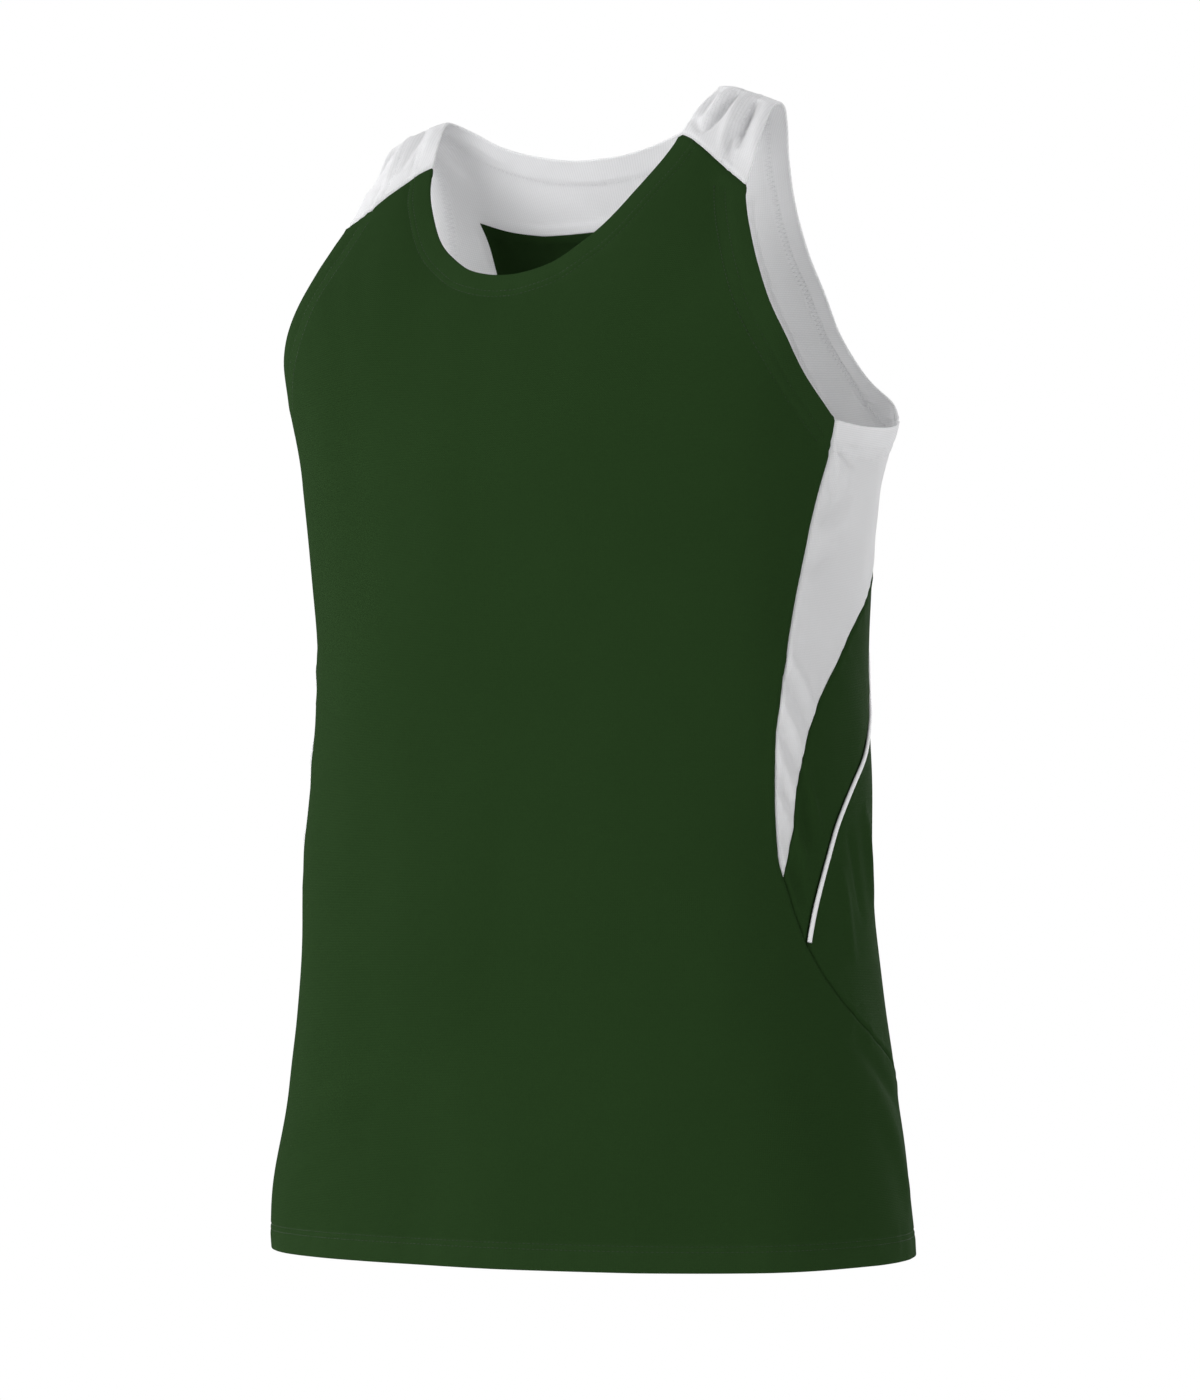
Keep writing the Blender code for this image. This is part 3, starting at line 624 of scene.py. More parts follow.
def fold_line(row, side):
    """The curve of a fold in the flat layout."""
    knots = np.array([(row.angle, row.rise), (row.via_angle, row.via_rise), (row.end_angle, row.end_rise)])
    knots *= (side * math.radians(1) * GIRTH_RADIUS, 1)
    t = np.linspace(0, 1, FOLD_PARTS + 1)[:, None]
    bend = 2 * knots[1] - (knots[0] + knots[2]) / 2
    return knots[0] * (1 - t) ** 2 + 2 * bend * t * (1 - t) + knots[2] * t**2


def fold_shape(away, along, fades):
    """Height of a fold's section, with soft flanks that dip a little if it fades."""
    if not fades:
        return np.exp(-(away**2))
    section_height = (1 - FLANK_DIP * away**2) * np.exp(-FLANK_FALL * away**2)
    return section_height * np.sin(math.pi * along) ** FADE_POWER


def add_folds(flat, total):
    """Adds every fold's height at places of the layout, within reach of the fold."""
    for row in FOLDS:
        for side in (row.side,) if row.side else (1, -1):
            curve = fold_line(row, side)
            reach = FOLD_REACH * row.width * MM
            near = np.all((flat > curve.min(axis=0) - reach) & (flat < curve.max(axis=0) + reach), axis=1)
            if near.any():
                away, _, along = nearest_on(curve, flat[near])
                total[near] += row.height * MM * fold_shape(away / (row.width * MM), along, row.side)


# %% Drift, which keeps the cloth between folds from looking machined
Drift = namedtuple("Drift", "wavelength height")
DRIFTS = (Drift(0.170, 0.0012), Drift(0.085, 0.0005), Drift(0.038, 0.00016))
WAVES = 5
UPWARDS = 0.55  # how much slower waves change upwards than sideways


def waves(points, wavelength, seed):
    """Smooth unevenness in space, about 1 high, longer upwards than sideways."""
    draw = np.random.default_rng(seed)
    total = np.zeros(len(points))
    for _ in range(WAVES):
        way = draw.normal(size=3) * (1.0, 1.0, UPWARDS)
        way *= 2 * math.pi / wavelength / np.linalg.norm(way)
        total += np.sin(points @ way + draw.uniform(0, 2 * math.pi))
    return total / math.sqrt(WAVES / 2)


def crumple(flat):
    """How far folds and drift move the cloth outwards at places of the layout."""
    total = np.zeros(len(flat))
    girth = np.array([2 * math.pi * GIRTH_RADIUS, 0.0])
    far_side = flat * -1 + (math.pi * GIRTH_RADIUS, 2 * RIDGE_RISE)
    for counted in (flat, far_side):
        for shift in (-girth, 0 * girth, girth):
            add_folds(counted + shift, total)
    points = smooth_form(flat)
    for seed, row in enumerate(DRIFTS):
        total += row.height * waves(points, row.wavelength, seed)
    return total


# %% [markdown]
# ## Turned hems and seams
# At the neck, the armholes and the foot, the cloth is turned under once and sewn with two
# rows of stitches. The band is twice as thick, each row presses a small groove into it, and
# the thread draws the cloth up into slight puckers. At a seam the two panels dip towards
# each other, and inside the garment their edges lie together as a raised strip. All this is
# a few tenths of a millimetre high, but it is what makes a shape read as sewn cloth. So it
# is real geometry here: each point of a panel gets its own height above and below the
# cloth's middle, from its distance to the panel's edges.

# %% Hems and seams
HALF_CLOTH = 0.45 * MM
TURNED_CLOTH = 0.55 * MM  # the hem's second layer, on the inside
GROOVE_WIDTH = 1.1 * MM
SHALLOWER_INSIDE = 3  # times, for a groove
ALLOWANCE = 0.70 * MM  # the raised strip inside a seam
ALLOWANCE_WIDTH = 6.5 * MM
SOFT_STEP = 0.8 * MM  # how gently a layer ends
PUCKER = 0.30 * MM
PUCKER_WAVES = ((11, 19 * MM, 0.6), (12, 9 * MM, 0.4))  # seed, wavelength and share
HEM_PUCKERS = 9 * MM  # how far they reach from a hem's first row of stitches
SEAM_PUCKERS_AT, SEAM_PUCKERS = 4 * MM, 5 * MM  # where they are strongest beside a seam
PUFF_WIDTH = 1.8 * MM
COARSE_STEP = 6 * MM  # between an edge's points when distances are measured to it
FAR_OFF = 1.0  # farther than any edge

Hem = namedtuple("Hem", "width puff rows grooves")
HEMS = {  # puff is how far the band stands off outside; rows and grooves go together
    "neck": Hem(15.5 * MM, 0.45 * MM, (11.0 * MM, 14.6 * MM), (0.45 * MM, 1.05 * MM)),
    "armhole": Hem(19.0 * MM, 0.42 * MM, (11.4 * MM, 17.8 * MM), (0.70 * MM, 1.00 * MM)),
    "foot": Hem(16.0 * MM, 0.34 * MM, (11.4 * MM, 14.6 * MM), (0.45 * MM, 0.80 * MM)),
}
Seam = namedtuple("Seam", "dip width puff puff_at")
SEAMS = {
    "seam": Seam(1.00 * MM, 1.3 * MM, 0.34 * MM, 2.8 * MM),
    "piped": Seam(1.30 * MM, 2.2 * MM, 0.34 * MM, 4.4 * MM),
}


def soft_step(value):
    value = np.clip(value + 0.5, 0.0, 1.0)
    return value * value * (3 - 2 * value)


def bell(away, middle, width):
    """1 where the distance from an edge is middle, and less on both sides of it."""
    return np.exp(-(((away - middle) / width) ** 2))


# %% How thick the cloth is at a place of a panel
def nearest_edge(edges, kind, points):
    """Distance to the nearest edge of one kind, and the nearest place on it."""
    best, places = np.full(len(points), FAR_OFF), np.zeros((len(points), 3))
    for line, line_kind in edges:
        if line_kind == kind:
            away, feet, _ = nearest_on(smooth_form(respaced(line, COARSE_STEP)), points)
            closer = away < best
            best[closer], places[closer] = away[closer], feet[closer]
    return best, places


def layers(edges, flat):
    """Heights of the outer and inner skin at places of a panel, and how double it is."""
    points = smooth_form(flat)
    outer = np.full(len(flat), HALF_CLOTH)
    inner = np.full(len(flat), HALF_CLOTH)
    double = np.zeros(len(flat))
    pucker = np.zeros(len(flat))
    for kind in sorted({kind for _, kind in edges}):
        away, feet = nearest_edge(edges, kind, points)
        rough = sum(share * waves(feet, wave, seed) for seed, wave, share in PUCKER_WAVES)
        if kind in HEMS:
            hem = HEMS[kind]
            band = soft_step((hem.width - away) / SOFT_STEP)
            double = np.maximum(double, band)
            inner += TURNED_CLOTH * band
            outer += hem.puff * band
            for row, depth in zip(hem.rows, hem.grooves):
                outer -= depth * bell(away, row, GROOVE_WIDTH)
                inner -= depth / SHALLOWER_INSIDE * bell(away, row, GROOVE_WIDTH)
            pucker += rough * bell(away, hem.rows[0], HEM_PUCKERS)
        else:
            seam = SEAMS[kind]
            outer -= seam.dip * bell(away, 0.0, seam.width)
            outer += seam.puff * bell(away, seam.puff_at, PUFF_WIDTH)
            inner += ALLOWANCE * soft_step((ALLOWANCE_WIDTH - away) / SOFT_STEP)
            pucker += rough * bell(away, SEAM_PUCKERS_AT, SEAM_PUCKERS)
    return outer + PUCKER * pucker, inner - PUCKER * pucker, double


def cloth_at(flat, lift):
    """Points of the worn cloth, lifted outwards from its middle."""
    return smooth_form(flat) + outward(flat) * (crumple(flat) + lift)[:, None]


# %% Moving along and across a line on the cloth
def respaced(line, step):
    """The same flat line with its points about step apart along the cloth."""
    lengths = real_lengths(line)
    stops = np.linspace(0, lengths[-1], max(1, round(lengths[-1] / step)) + 1)
    return np.stack([np.interp(stops, lengths, column) for column in line.T], axis=1)


def across(line):
    """Flat directions to the left of a line, one metre long on the cloth."""
    way = np.gradient(line, axis=0)
    along, up = form_slopes(line)
    uu, uv, vv = (along * along).sum(1), (along * up).sum(1), (up * up).sum(1)
    left = np.stack([-vv * way[:, 1] - uv * way[:, 0], uu * way[:, 0] + uv * way[:, 1]], axis=1)
    real = np.sqrt(uu * left[:, 0] ** 2 + 2 * uv * left[:, 0] * left[:, 1] + vv * left[:, 1] ** 2)
    return left / real[:, None]


def moved_in(line, distance):
    return line + across(line) * distance


# %% [markdown]
# ## Cutting a panel
# A panel is a closed loop of cut lines. It is filled with points and triangulated while it
# is flat, and only then laid on the form, as a maker cuts cloth flat and puts it on the
# body. Near a hem or a seam, rows of points follow the edge, so that grooves and layers
# come out crisp. The rest is filled with staggered rows. The outer and the inner skin share
# one triangulation. A rounded rim joins them where the cloth is folded over.

# %% Where a panel gets its points
EDGE_STEP = 3.0 * MM
FACET = 4.2 * MM
FINE_FACET = 2.6 * MM
STRAP_FACET = 1.3 * MM  # for the tight gathers
STRAP_RISE = 0.735  # above this rise, counted over the shoulder, a panel is a strap
NEAR_ROWS = (0.9 * MM, 2.0 * MM)  # rows of points beside a seam
FAR_ROWS = (3.6 * MM, 6.1 * MM, 7.0 * MM)
RIM_TURNS = (50, 0, -50)  # degrees round the rounded rim
SEAM_SHARE, HEM_SHARE = 0.9, 0.97  # of a row's distance that it keeps from other edges
ROWS_BESIDE_HEM = (1.0 * MM, 2.6 * MM, 5.4 * MM, 8.4 * MM)
ROWS_AT_HEM_END = (-0.5 * MM, 0.6 * MM)  # just before and after the turned cloth ends
ROWS_AT_STITCHES = (-1.0 * MM, 0.0, 1.0 * MM)
LEAST_BETWEEN_ROWS = 0.55 * MM
CLEAR_OF_SEAM = NEAR_ROWS[-1] + 0.7 * MM
CLEAR_OF_HEM = 1.6 * MM  # beyond the turned cloth


def hem_rows(hem):
    """Distances from a hem's edge at which a row of points follows it."""
    rows = [*ROWS_BESIDE_HEM, *(hem.width + more for more in ROWS_AT_HEM_END)]
    rows += [row + more for row in hem.rows for more in ROWS_AT_STITCHES]
    kept = []
    for row in sorted(rows):
        if not kept or row - kept[-1] > LEAST_BETWEEN_ROWS:
            kept.append(row)
    return kept


# %% Rows of points along hems and seams
def inside(loop, places):
    """Which places lie inside a closed loop."""
    start, end = loop, np.roll(loop, -1, axis=0)
    rise = np.where(end[:, 1] == start[:, 1], 1.0, end[:, 1] - start[:, 1])
    found = np.zeros(len(places), bool)
    for rows in np.array_split(np.arange(len(places)), len(places) // CHUNK + 1):
        u, v = places[rows, 0:1], places[rows, 1:2]
        crosses = (start[:, 1] > v) != (end[:, 1] > v)
        at = start[:, 0] + (v - start[:, 1]) * (end[:, 0] - start[:, 0]) / rise
        found[rows] = (crosses & (u < at)).sum(axis=1) % 2 == 1
    return found


def edge_rows(edges, loop):
    """Points in rows that follow the edges: close to seams first, then hems, then the rest."""
    chosen = []
    seams = [line for line, kind in edges if kind in SEAMS]

    def beside(line, distance):
        moved = moved_in(respaced(line, EDGE_STEP), distance)[1:-1]
        return moved[inside(loop, moved)] if len(moved) else moved

    def clear_of(lines, places, least):
        points = smooth_form(places)
        for line in lines:
            away = nearest_on(smooth_form(respaced(line, COARSE_STEP)), points)[0]
            places, points = places[away > least], points[away > least]
        return places

    for line in seams:
        others = [other for other, _ in edges if other is not line]
        for distance in NEAR_ROWS:
            chosen.append(clear_of(others, beside(line, distance), distance * SEAM_SHARE))
    hem_lines = [(line, HEMS[kind]) for line, kind in edges if kind in HEMS]
    for line, hem in hem_lines:
        others = [other for other, _ in hem_lines if other is not line]
        for distance in hem_rows(hem):
            places = clear_of(seams, beside(line, distance), CLEAR_OF_SEAM)
            chosen.append(clear_of(others, places, distance * HEM_SHARE))
    for line in seams:
        others = [other for other in seams if other is not line]
        for distance in FAR_ROWS:
            places = clear_of(others, beside(line, distance), distance * SEAM_SHARE)
            for hem_line, hem in hem_lines:
                places = clear_of([hem_line], places, hem.width + CLEAR_OF_HEM)
            chosen.append(places)
    return np.vstack(chosen)


# %% Points for the rest of a panel
APART = 0.62  # how near two points may be, in facets


def staggered(loop, facet):
    """Staggered rows of places inside a loop."""
    low, high = loop.min(axis=0), loop.max(axis=0)
    rows = np.arange(low[1], high[1], facet * math.sqrt(3) / 2)
    columns = np.arange(low[0], high[0], facet)
    places = [
        np.stack([columns + facet / 2 * (i % 2), np.full(len(columns), v)], axis=1)
        for i, v in enumerate(rows)
    ]
    places = np.vstack(places)
    return places[inside(loop, places)]


def apart_from(kept, places, least):
    """The places at least this far from every kept one."""
    tree = KDTree(len(kept))
    for i, (u, v) in enumerate(kept):
        tree.insert((u, v, 0.0), i)
    tree.balance()
    return np.array([p for p in places if tree.find((*p, 0.0))[2] > least]).reshape(-1, 2)


# %% Two skins and a rim
INSIDE_ONLY = 1  # the kind of triangulation that drops what lies outside the loop
SAME_PLACE = 1e-7  # points nearer than this are one


def panel_loop(edges):
    """A panel's outline, and at each of its points the way out over a folded edge."""
    runs = [respaced(line, EDGE_STEP) for line, _ in edges]
    outs = [
        across(run) * (-1.0 if kind in HEMS else 0.0) for run, (_, kind) in zip(runs, edges)
    ]
    for last, here in zip([outs[-1]] + outs[:-1], outs):
        if not here[0].any():
            here[0] = last[-1]
    return np.vstack([run[:-1] for run in runs]), np.vstack([out[:-1] for out in outs])


def face_outwards(mesh):
    shell = bmesh.new()
    shell.from_mesh(mesh)
    bmesh.ops.recalc_face_normals(shell, faces=shell.faces)
    shell.to_mesh(mesh)
    shell.free()
    mesh.update()


def cut_panel(name, edges, facet):
    """A panel of cloth as a mesh: two skins and the rim between them."""
    loop, outs = panel_loop(edges)
    rows = edge_rows(edges, loop)
    flat = np.vstack([loop, rows])
    for low, high, step in ((0.0, STRAP_RISE, facet), (STRAP_RISE, math.inf, STRAP_FACET)):
        filled = staggered(loop, step)
        filled = filled[(filled[:, 1] >= low) & (filled[:, 1] < high)]
        flat = np.vstack([flat, apart_from(flat, filled, APART * step)])
    rim = [(i, (i + 1) % len(loop)) for i in range(len(loop))]
    vectors = [Vector(place) for place in flat]
    places, _, triangles, sources, _, _ = delaunay_2d_cdt(vectors, rim, [], INSIDE_ONLY, SAME_PLACE)
    flat = np.array([tuple(p) for p in places])
    index = {source: i for i, found in enumerate(sources) for source in found}
    around = np.array([index[i] for i in range(len(loop))])

    outer, inner, double = layers(edges, flat)
    middle = (outer[around] - inner[around]) / 2
    radius = (outer[around] + inner[around]) / 2
    bands = [(flat, outer, double)]
    for turn in RIM_TURNS:
        turn = math.radians(turn)
        moved = loop + outs * (radius * math.cos(turn))[:, None]
        bands.append((moved, middle + radius * math.sin(turn), double[around]))
    bands.append((flat, -inner, double))
    points = np.vstack([cloth_at(band_flat, lift) for band_flat, lift, _ in bands])
    layout = np.vstack([band_flat for band_flat, _, _ in bands])
    doubled = np.concatenate([band_double for _, _, band_double in bands])

    inner_start = len(points) - len(flat)
    faces = [tuple(t) for t in triangles]
    faces += [tuple(inner_start + i for i in reversed(t)) for t in triangles]
    rings = [around]
    rings += [len(flat) + k * len(loop) + np.arange(len(loop)) for k in range(len(RIM_TURNS))]
    rings.append(inner_start + around)
    for upper, lower in zip(rings, rings[1:]):
        for i in range(len(loop)):
            j = (i + 1) % len(loop)
            faces.append((int(upper[j]), int(upper[i]), int(lower[i]), int(lower[j])))

    mesh = bpy.data.meshes.new(name)
    mesh.from_pydata(points, [], faces)
    mesh.polygons.foreach_set("use_smooth", np.ones(len(mesh.polygons), bool))
    corners = np.zeros(len(mesh.loops), int)
    mesh.loops.foreach_get("vertex_index", corners)
    mesh.uv_layers.new(name="layout").data.foreach_set("uv", layout[corners].ravel())
    mesh.attributes.new("double", "FLOAT", "POINT").data.foreach_set("value", doubled)
    face_outwards(mesh)
    return add_object(name, mesh)


# %% The panels' edges
def mirrored(edges, centre=0.0):
    """The same run of edges on the wearer's right side, about a centre angle."""
    middle = np.array([centre * GIRTH_RADIUS, 0.0])
    return [((2 * middle - line * (1, -1))[::-1], kind) for line, kind in reversed(edges)]


def run_of(*names, **kinds):
    """Cut lines one after the other. A "-" runs a line backwards. Lines that are no plain
    seam are given their kinds."""
    run = []
    for name in names:
        line = CUTS[name.strip("-")]
        line = line[::-1] if name.startswith("-") else line
        run.append((line, kinds.get(name.strip("-"), "seam")))
    return run


# %% The runs of edges round each panel
# Each run goes anticlockwise round its panel, seen from outside, and ends where the other
# side's begins.
FRONT_HALF = run_of(
    "front_hem", "-low_seam", "-tip_to_piping", "-insert_front", "-front_arm", "-shoulder", "-front_neck",
    front_hem="foot", front_arm="armhole", front_neck="neck",
)
BACK_HALF = run_of(
    "-yoke_top", "-yoke_band", "-piping", "low_seam", "back_hem", piping="piped", back_hem="foot"
)
YOKE_HALF = run_of(
    "-back_neck", "shoulder_over", "-back_arm", "insert_side", "yoke_side", "yoke_band", "yoke_top",
    back_neck="neck", back_arm="armhole",
)
INSERT = run_of("insert_back", "-insert_side", "-under_arm", "insert_front", under_arm="armhole")
SIDE_PANEL = run_of("tip_to_piping", "piping", "-yoke_side", "-insert_back", piping="piped")
PANELS = {
    "front_cloth": (FRONT_HALF + mirrored(FRONT_HALF), FACET),
    "back_cloth": (BACK_HALF + mirrored(BACK_HALF, math.pi), FACET),
    "yoke_cloth": (YOKE_HALF + mirrored(YOKE_HALF, math.pi), FINE_FACET),
    "insert_cloth_left": (INSERT, FINE_FACET),
    "insert_cloth_right": (mirrored(INSERT), FINE_FACET),
    "side_cloth_left": (SIDE_PANEL, FINE_FACET),
    "side_cloth_right": (mirrored(SIDE_PANEL), FINE_FACET),
}

# %% Cutting them all
cloth = {}
for name, (edges, facet) in PANELS.items():
    cloth[name] = cut_panel(name, edges, facet)
    print(name, len(cloth[name].data.vertices), "points", len(cloth[name].data.polygons), "faces")

# %% [markdown]
# ## The knit
# The cloth is a fine polyester jersey. Close up, its face is columns of small V-shaped
# loops, and from a step away it is matt with a soft lighter edge where the fibre ends catch
# the light. The loops are drawn from the panel's own layout, so that they run straight up
# the cloth and turn with it over the shoulder. They are a height for the bump. The colour also
# carries painted shade: the gaps between the loops are painted darker, and their tops a touch lighter.

# %% Loops of yarn
WALE = 1.25 * MM  # a column of loops; 0.9 mm on the real cloth, drawn coarser so that it shows
COURSE = 1.0 * MM  # a row of loops
LOOP_DEPTH = 0.09 * MM
LOOP_ROUNDNESS = 0.6  # below 1, loops are flatter across their middle
CLOUDS_PER_METRE = 14.0  # slight unevenness of the dye
FIBRES_PER_METRE, FIBRE_SHARE = 1400.0, 0.35  # loose fibre ends, as a share of a loop's height
# slight random unevenness of the dye; painted shade in the gaps between loops, with a faint painted
# highlight on their tops
DYE_SHADES, LOOP_GAP_PAINTED_SHADE = (0.95, 1.05), (0.90, 1.04)
MIX_SHARE, MIX_FIRST, MIX_SECOND, MIX_RESULT = 0, 6, 7, 2  # a colour Mix node's sockets
GREEN, GREEN_DOUBLE = "#203519", "#22371B"
WHITE, WHITE_DOUBLE = "#F0F0F1", "#F4F4F5"


def knit_loops(tree, layout):
    """How high the yarn stands at a place of the layout, from 0 to 1."""
    parts = add_node(tree, "ShaderNodeSeparateXYZ", (layout,)).node.outputs
    columns = add_node(tree, "ShaderNodeMath", (parts["X"], WALE), operation="DIVIDE")
    rows = add_node(tree, "ShaderNodeMath", (parts["Y"], COURSE), operation="DIVIDE")
    across_one = add_node(tree, "ShaderNodeMath", (columns,), operation="FRACT")
    from_middle = add_node(tree, "ShaderNodeMath", (across_one, 0.5), operation="SUBTRACT")
    legs = add_node(tree, "ShaderNodeMath", (from_middle,), operation="ABSOLUTE")
    slanted = add_node(tree, "ShaderNodeMath", (rows, legs), operation="ADD")
    up_one = add_node(tree, "ShaderNodeMath", (slanted,), operation="FRACT")
    half_turns = [
        add_node(tree, "ShaderNodeMath", (share, math.pi), operation="MULTIPLY")
        for share in (across_one, up_one)
    ]
    rib, loop = [add_node(tree, "ShaderNodeMath", (turn,), operation="SINE") for turn in half_turns]
    rounded = add_node(tree, "ShaderNodeMath", (rib, LOOP_ROUNDNESS), operation="POWER")
    return add_node(tree, "ShaderNodeMath", (rounded, loop), operation="MULTIPLY")


# %% Shading a colour and ending a material
def shaded(tree, colour, value, low, high):
    """A colour times a 0 to 1 value that is first moved to the range from low to high."""
    shade = add_node(tree, "ShaderNodeMapRange", {"Value": value, "To Min": low, "To Max": high})
    mix = {MIX_SHARE: 1.0, MIX_FIRST: colour, MIX_SECOND: shade}
    return add_node(tree, "ShaderNodeMix", mix, out=MIX_RESULT, data_type="RGBA", blend_type="MULTIPLY")


def finish_material(tree, inputs, height, depth, see_through=0.0):
    """A Principled shader with these inputs, its surface bumped by a height. A share of
    the light may pass through it, as through thin cloth."""
    bump = add_node(tree, "ShaderNodeBump", {"Height": height, "Distance": depth, "Strength": 1.0})
    surface = add_node(tree, "ShaderNodeBsdfPrincipled", {**inputs, "Normal": bump})
    if see_through:
        glow = add_node(tree, "ShaderNodeBsdfTranslucent", {"Color": inputs["Base Color"]})
        surface = add_node(tree, "ShaderNodeMixShader", (see_through, surface, glow))
    add_node(tree, "ShaderNodeOutputMaterial", {"Surface": surface})


# %% Knitted polyester
def knitted_polyester(name, single, double, sheen, see_through):
    """Fine jersey: matt, since its fibres are dull, with the faint bloom of fibre ends.
    White cloth this thin lets light through, so its inside isn't dark."""
    made = new_material(name)
    tree = made.node_tree
    layout = add_node(tree, "ShaderNodeUVMap", uv_map="layout")
    place = add_node(tree, "ShaderNodeTexCoord", out="Object")
    cloud = {"Vector": place, "Scale": CLOUDS_PER_METRE, "Detail": 2.0}
    clouds = add_node(tree, "ShaderNodeTexNoise", cloud)
    fibres = add_node(tree, "ShaderNodeTexNoise", cloud | {"Scale": FIBRES_PER_METRE})
    turned = add_node(tree, "ShaderNodeAttribute", out="Fac", attribute_name="double")
    dyes = {MIX_SHARE: turned, MIX_FIRST: linear(single), MIX_SECOND: linear(double)}
    dyed = add_node(tree, "ShaderNodeMix", dyes, out=MIX_RESULT, data_type="RGBA")
    loops = knit_loops(tree, layout)
    fluff = add_node(tree, "ShaderNodeMath", (fibres, FIBRE_SHARE), operation="MULTIPLY")
    height = add_node(tree, "ShaderNodeMath", (loops, fluff), operation="ADD")
    inputs = {
        # painted shade: the colour is darker in the knit's gaps and a touch lighter on the loops
        "Base Color": shaded(tree, shaded(tree, dyed, loops, *LOOP_GAP_PAINTED_SHADE), clouds, *DYE_SHADES),
        "Roughness": 0.90,
        "Specular IOR Level": 0.02,
        "Sheen Weight": sheen,
        "Sheen Roughness": 0.45,
        "Sheen Tint": linear(double),
    }
    finish_material(tree, inputs, height, LOOP_DEPTH, see_through)
    return made


green_knit = knitted_polyester(
    "green_knitted_polyester", GREEN, GREEN_DOUBLE, sheen=0.02, see_through=0.0
)
white_knit = knitted_polyester(
    "white_knitted_polyester", WHITE, WHITE_DOUBLE, sheen=0.06, see_through=0.42
)
for name, piece in cloth.items():
    white = name.startswith(("yoke", "insert"))
    piece.data.materials.append(white_knit if white else green_knit)
print("knit:", round(10 * MM / WALE, 1), "columns and", round(10 * MM / COURSE, 1), "rows of loops per cm")

# %% [markdown]
# ## Stitches
# Each hem is sewn with two rows of lockstitch outside, and a looper thread that zigzags
# between them inside. A few thousand stitches could be placed in Python, but they repeat
# along a path, which is what Geometry Nodes are for. The tree walks along each path,
# sets one small rounded stitch at every pitch, lays it along the path and flat on the cloth,
# and for a zigzag slants every other one the other way.

# %% How a tree starts and ends
def new_tree(name, sizes):
    """An empty Geometry Nodes tree with a path, named sizes, a seed and a material; its
    inputs; the path as a curve; and the cloth's outward direction along it."""
    tree = bpy.data.node_groups.new(name, "GeometryNodeTree")
    sockets = [("Path", "Geometry")] + [(size, "Float") for size in sizes]
    sockets += [("Seed", "Int"), ("Material", "Material")]
    for socket, kind in sockets:
        tree.interface.new_socket(socket, in_out="INPUT", socket_type="NodeSocket" + kind)
    tree.interface.new_socket("Sewn", in_out="OUTPUT", socket_type="NodeSocketGeometry")
    given = add_node(tree, "NodeGroupInput").node.outputs
    path = add_node(tree, "GeometryNodeMeshToCurve", {"Mesh": given["Path"]})
    out = add_node(tree, "GeometryNodeInputNamedAttribute", {"Name": "out"}, data_type="FLOAT_VECTOR")
    return tree, given, path, out


def finish_tree(tree, shape, material):
    """Ends a tree: real faces that are shaded smooth and have their material."""
    real = add_node(tree, "GeometryNodeRealizeInstances", (shape,))
    smooth = add_node(tree, "GeometryNodeSetShadeSmooth", (real,))
    done = add_node(tree, "GeometryNodeSetMaterial", {0: smooth, "Material": material})
    add_node(tree, "NodeGroupOutput", (done,))
    return tree


# %% A tree that sews along a path
LOOSE_SLANT = 0.10  # how unevenly stitches lie, in radians either way
BEAD_SIDES, BEAD_RINGS = 6, 4
BEAD_FACES = BEAD_SIDES * BEAD_RINGS


def sewing_tree():
    """Sets a bead at every pitch of the path: along it, flat on the cloth, and slanted."""
    tree, given, path, out = new_tree("sewing", ("Pitch", "Length", "Width", "Height", "Slant"))
    walk = {"Curve": path, "Length": given["Pitch"]}
    stops = add_node(tree, "GeometryNodeCurveToPoints", walk, mode="LENGTH").node.outputs
    way = {"Vector": stops["Tangent"]}
    laid = add_node(tree, "FunctionNodeAlignRotationToVector", way, axis="X")
    up = {"Rotation": laid, "Vector": out}
    flat = add_node(tree, "FunctionNodeAlignRotationToVector", up, axis="Z", pivot_axis="X")
    index = add_node(tree, "GeometryNodeInputIndex")
    odd = add_node(tree, "ShaderNodeMath", (index, 2.0), operation="MODULO")
    zigzag = add_node(tree, "ShaderNodeMath", (odd, 2.0, -1.0), operation="MULTIPLY_ADD")
    ends = {2: -LOOSE_SLANT, 3: LOOSE_SLANT, "Seed": given["Seed"]}
    loose = add_node(tree, "FunctionNodeRandomValue", ends, out=1, data_type="FLOAT")
    slant = add_node(
        tree, "ShaderNodeMath", (zigzag, given["Slant"], loose), operation="MULTIPLY_ADD"
    )
    angle = add_node(tree, "ShaderNodeCombineXYZ", {"Z": slant})
    turned = add_node(tree, "FunctionNodeEulerToRotation", (angle,))
    both = {"Rotation": flat, "Rotate By": turned}
    rotation = add_node(tree, "FunctionNodeRotateRotation", both, rotation_space="LOCAL")
    ball = {"Segments": BEAD_SIDES, "Rings": BEAD_RINGS, "Radius": 0.5}
    bead = add_node(tree, "GeometryNodeMeshUVSphere", ball)
    size = add_node(tree, "ShaderNodeCombineXYZ", (given["Length"], given["Width"], given["Height"]))
    stitch = add_node(tree, "GeometryNodeTransform", {"Geometry": bead, "Scale": size})
    placed = {"Points": stops["Points"], "Instance": stitch, "Rotation": rotation}
    sewn = add_node(tree, "GeometryNodeInstanceOnPoints", placed)
    return finish_tree(tree, sewn, given["Material"])


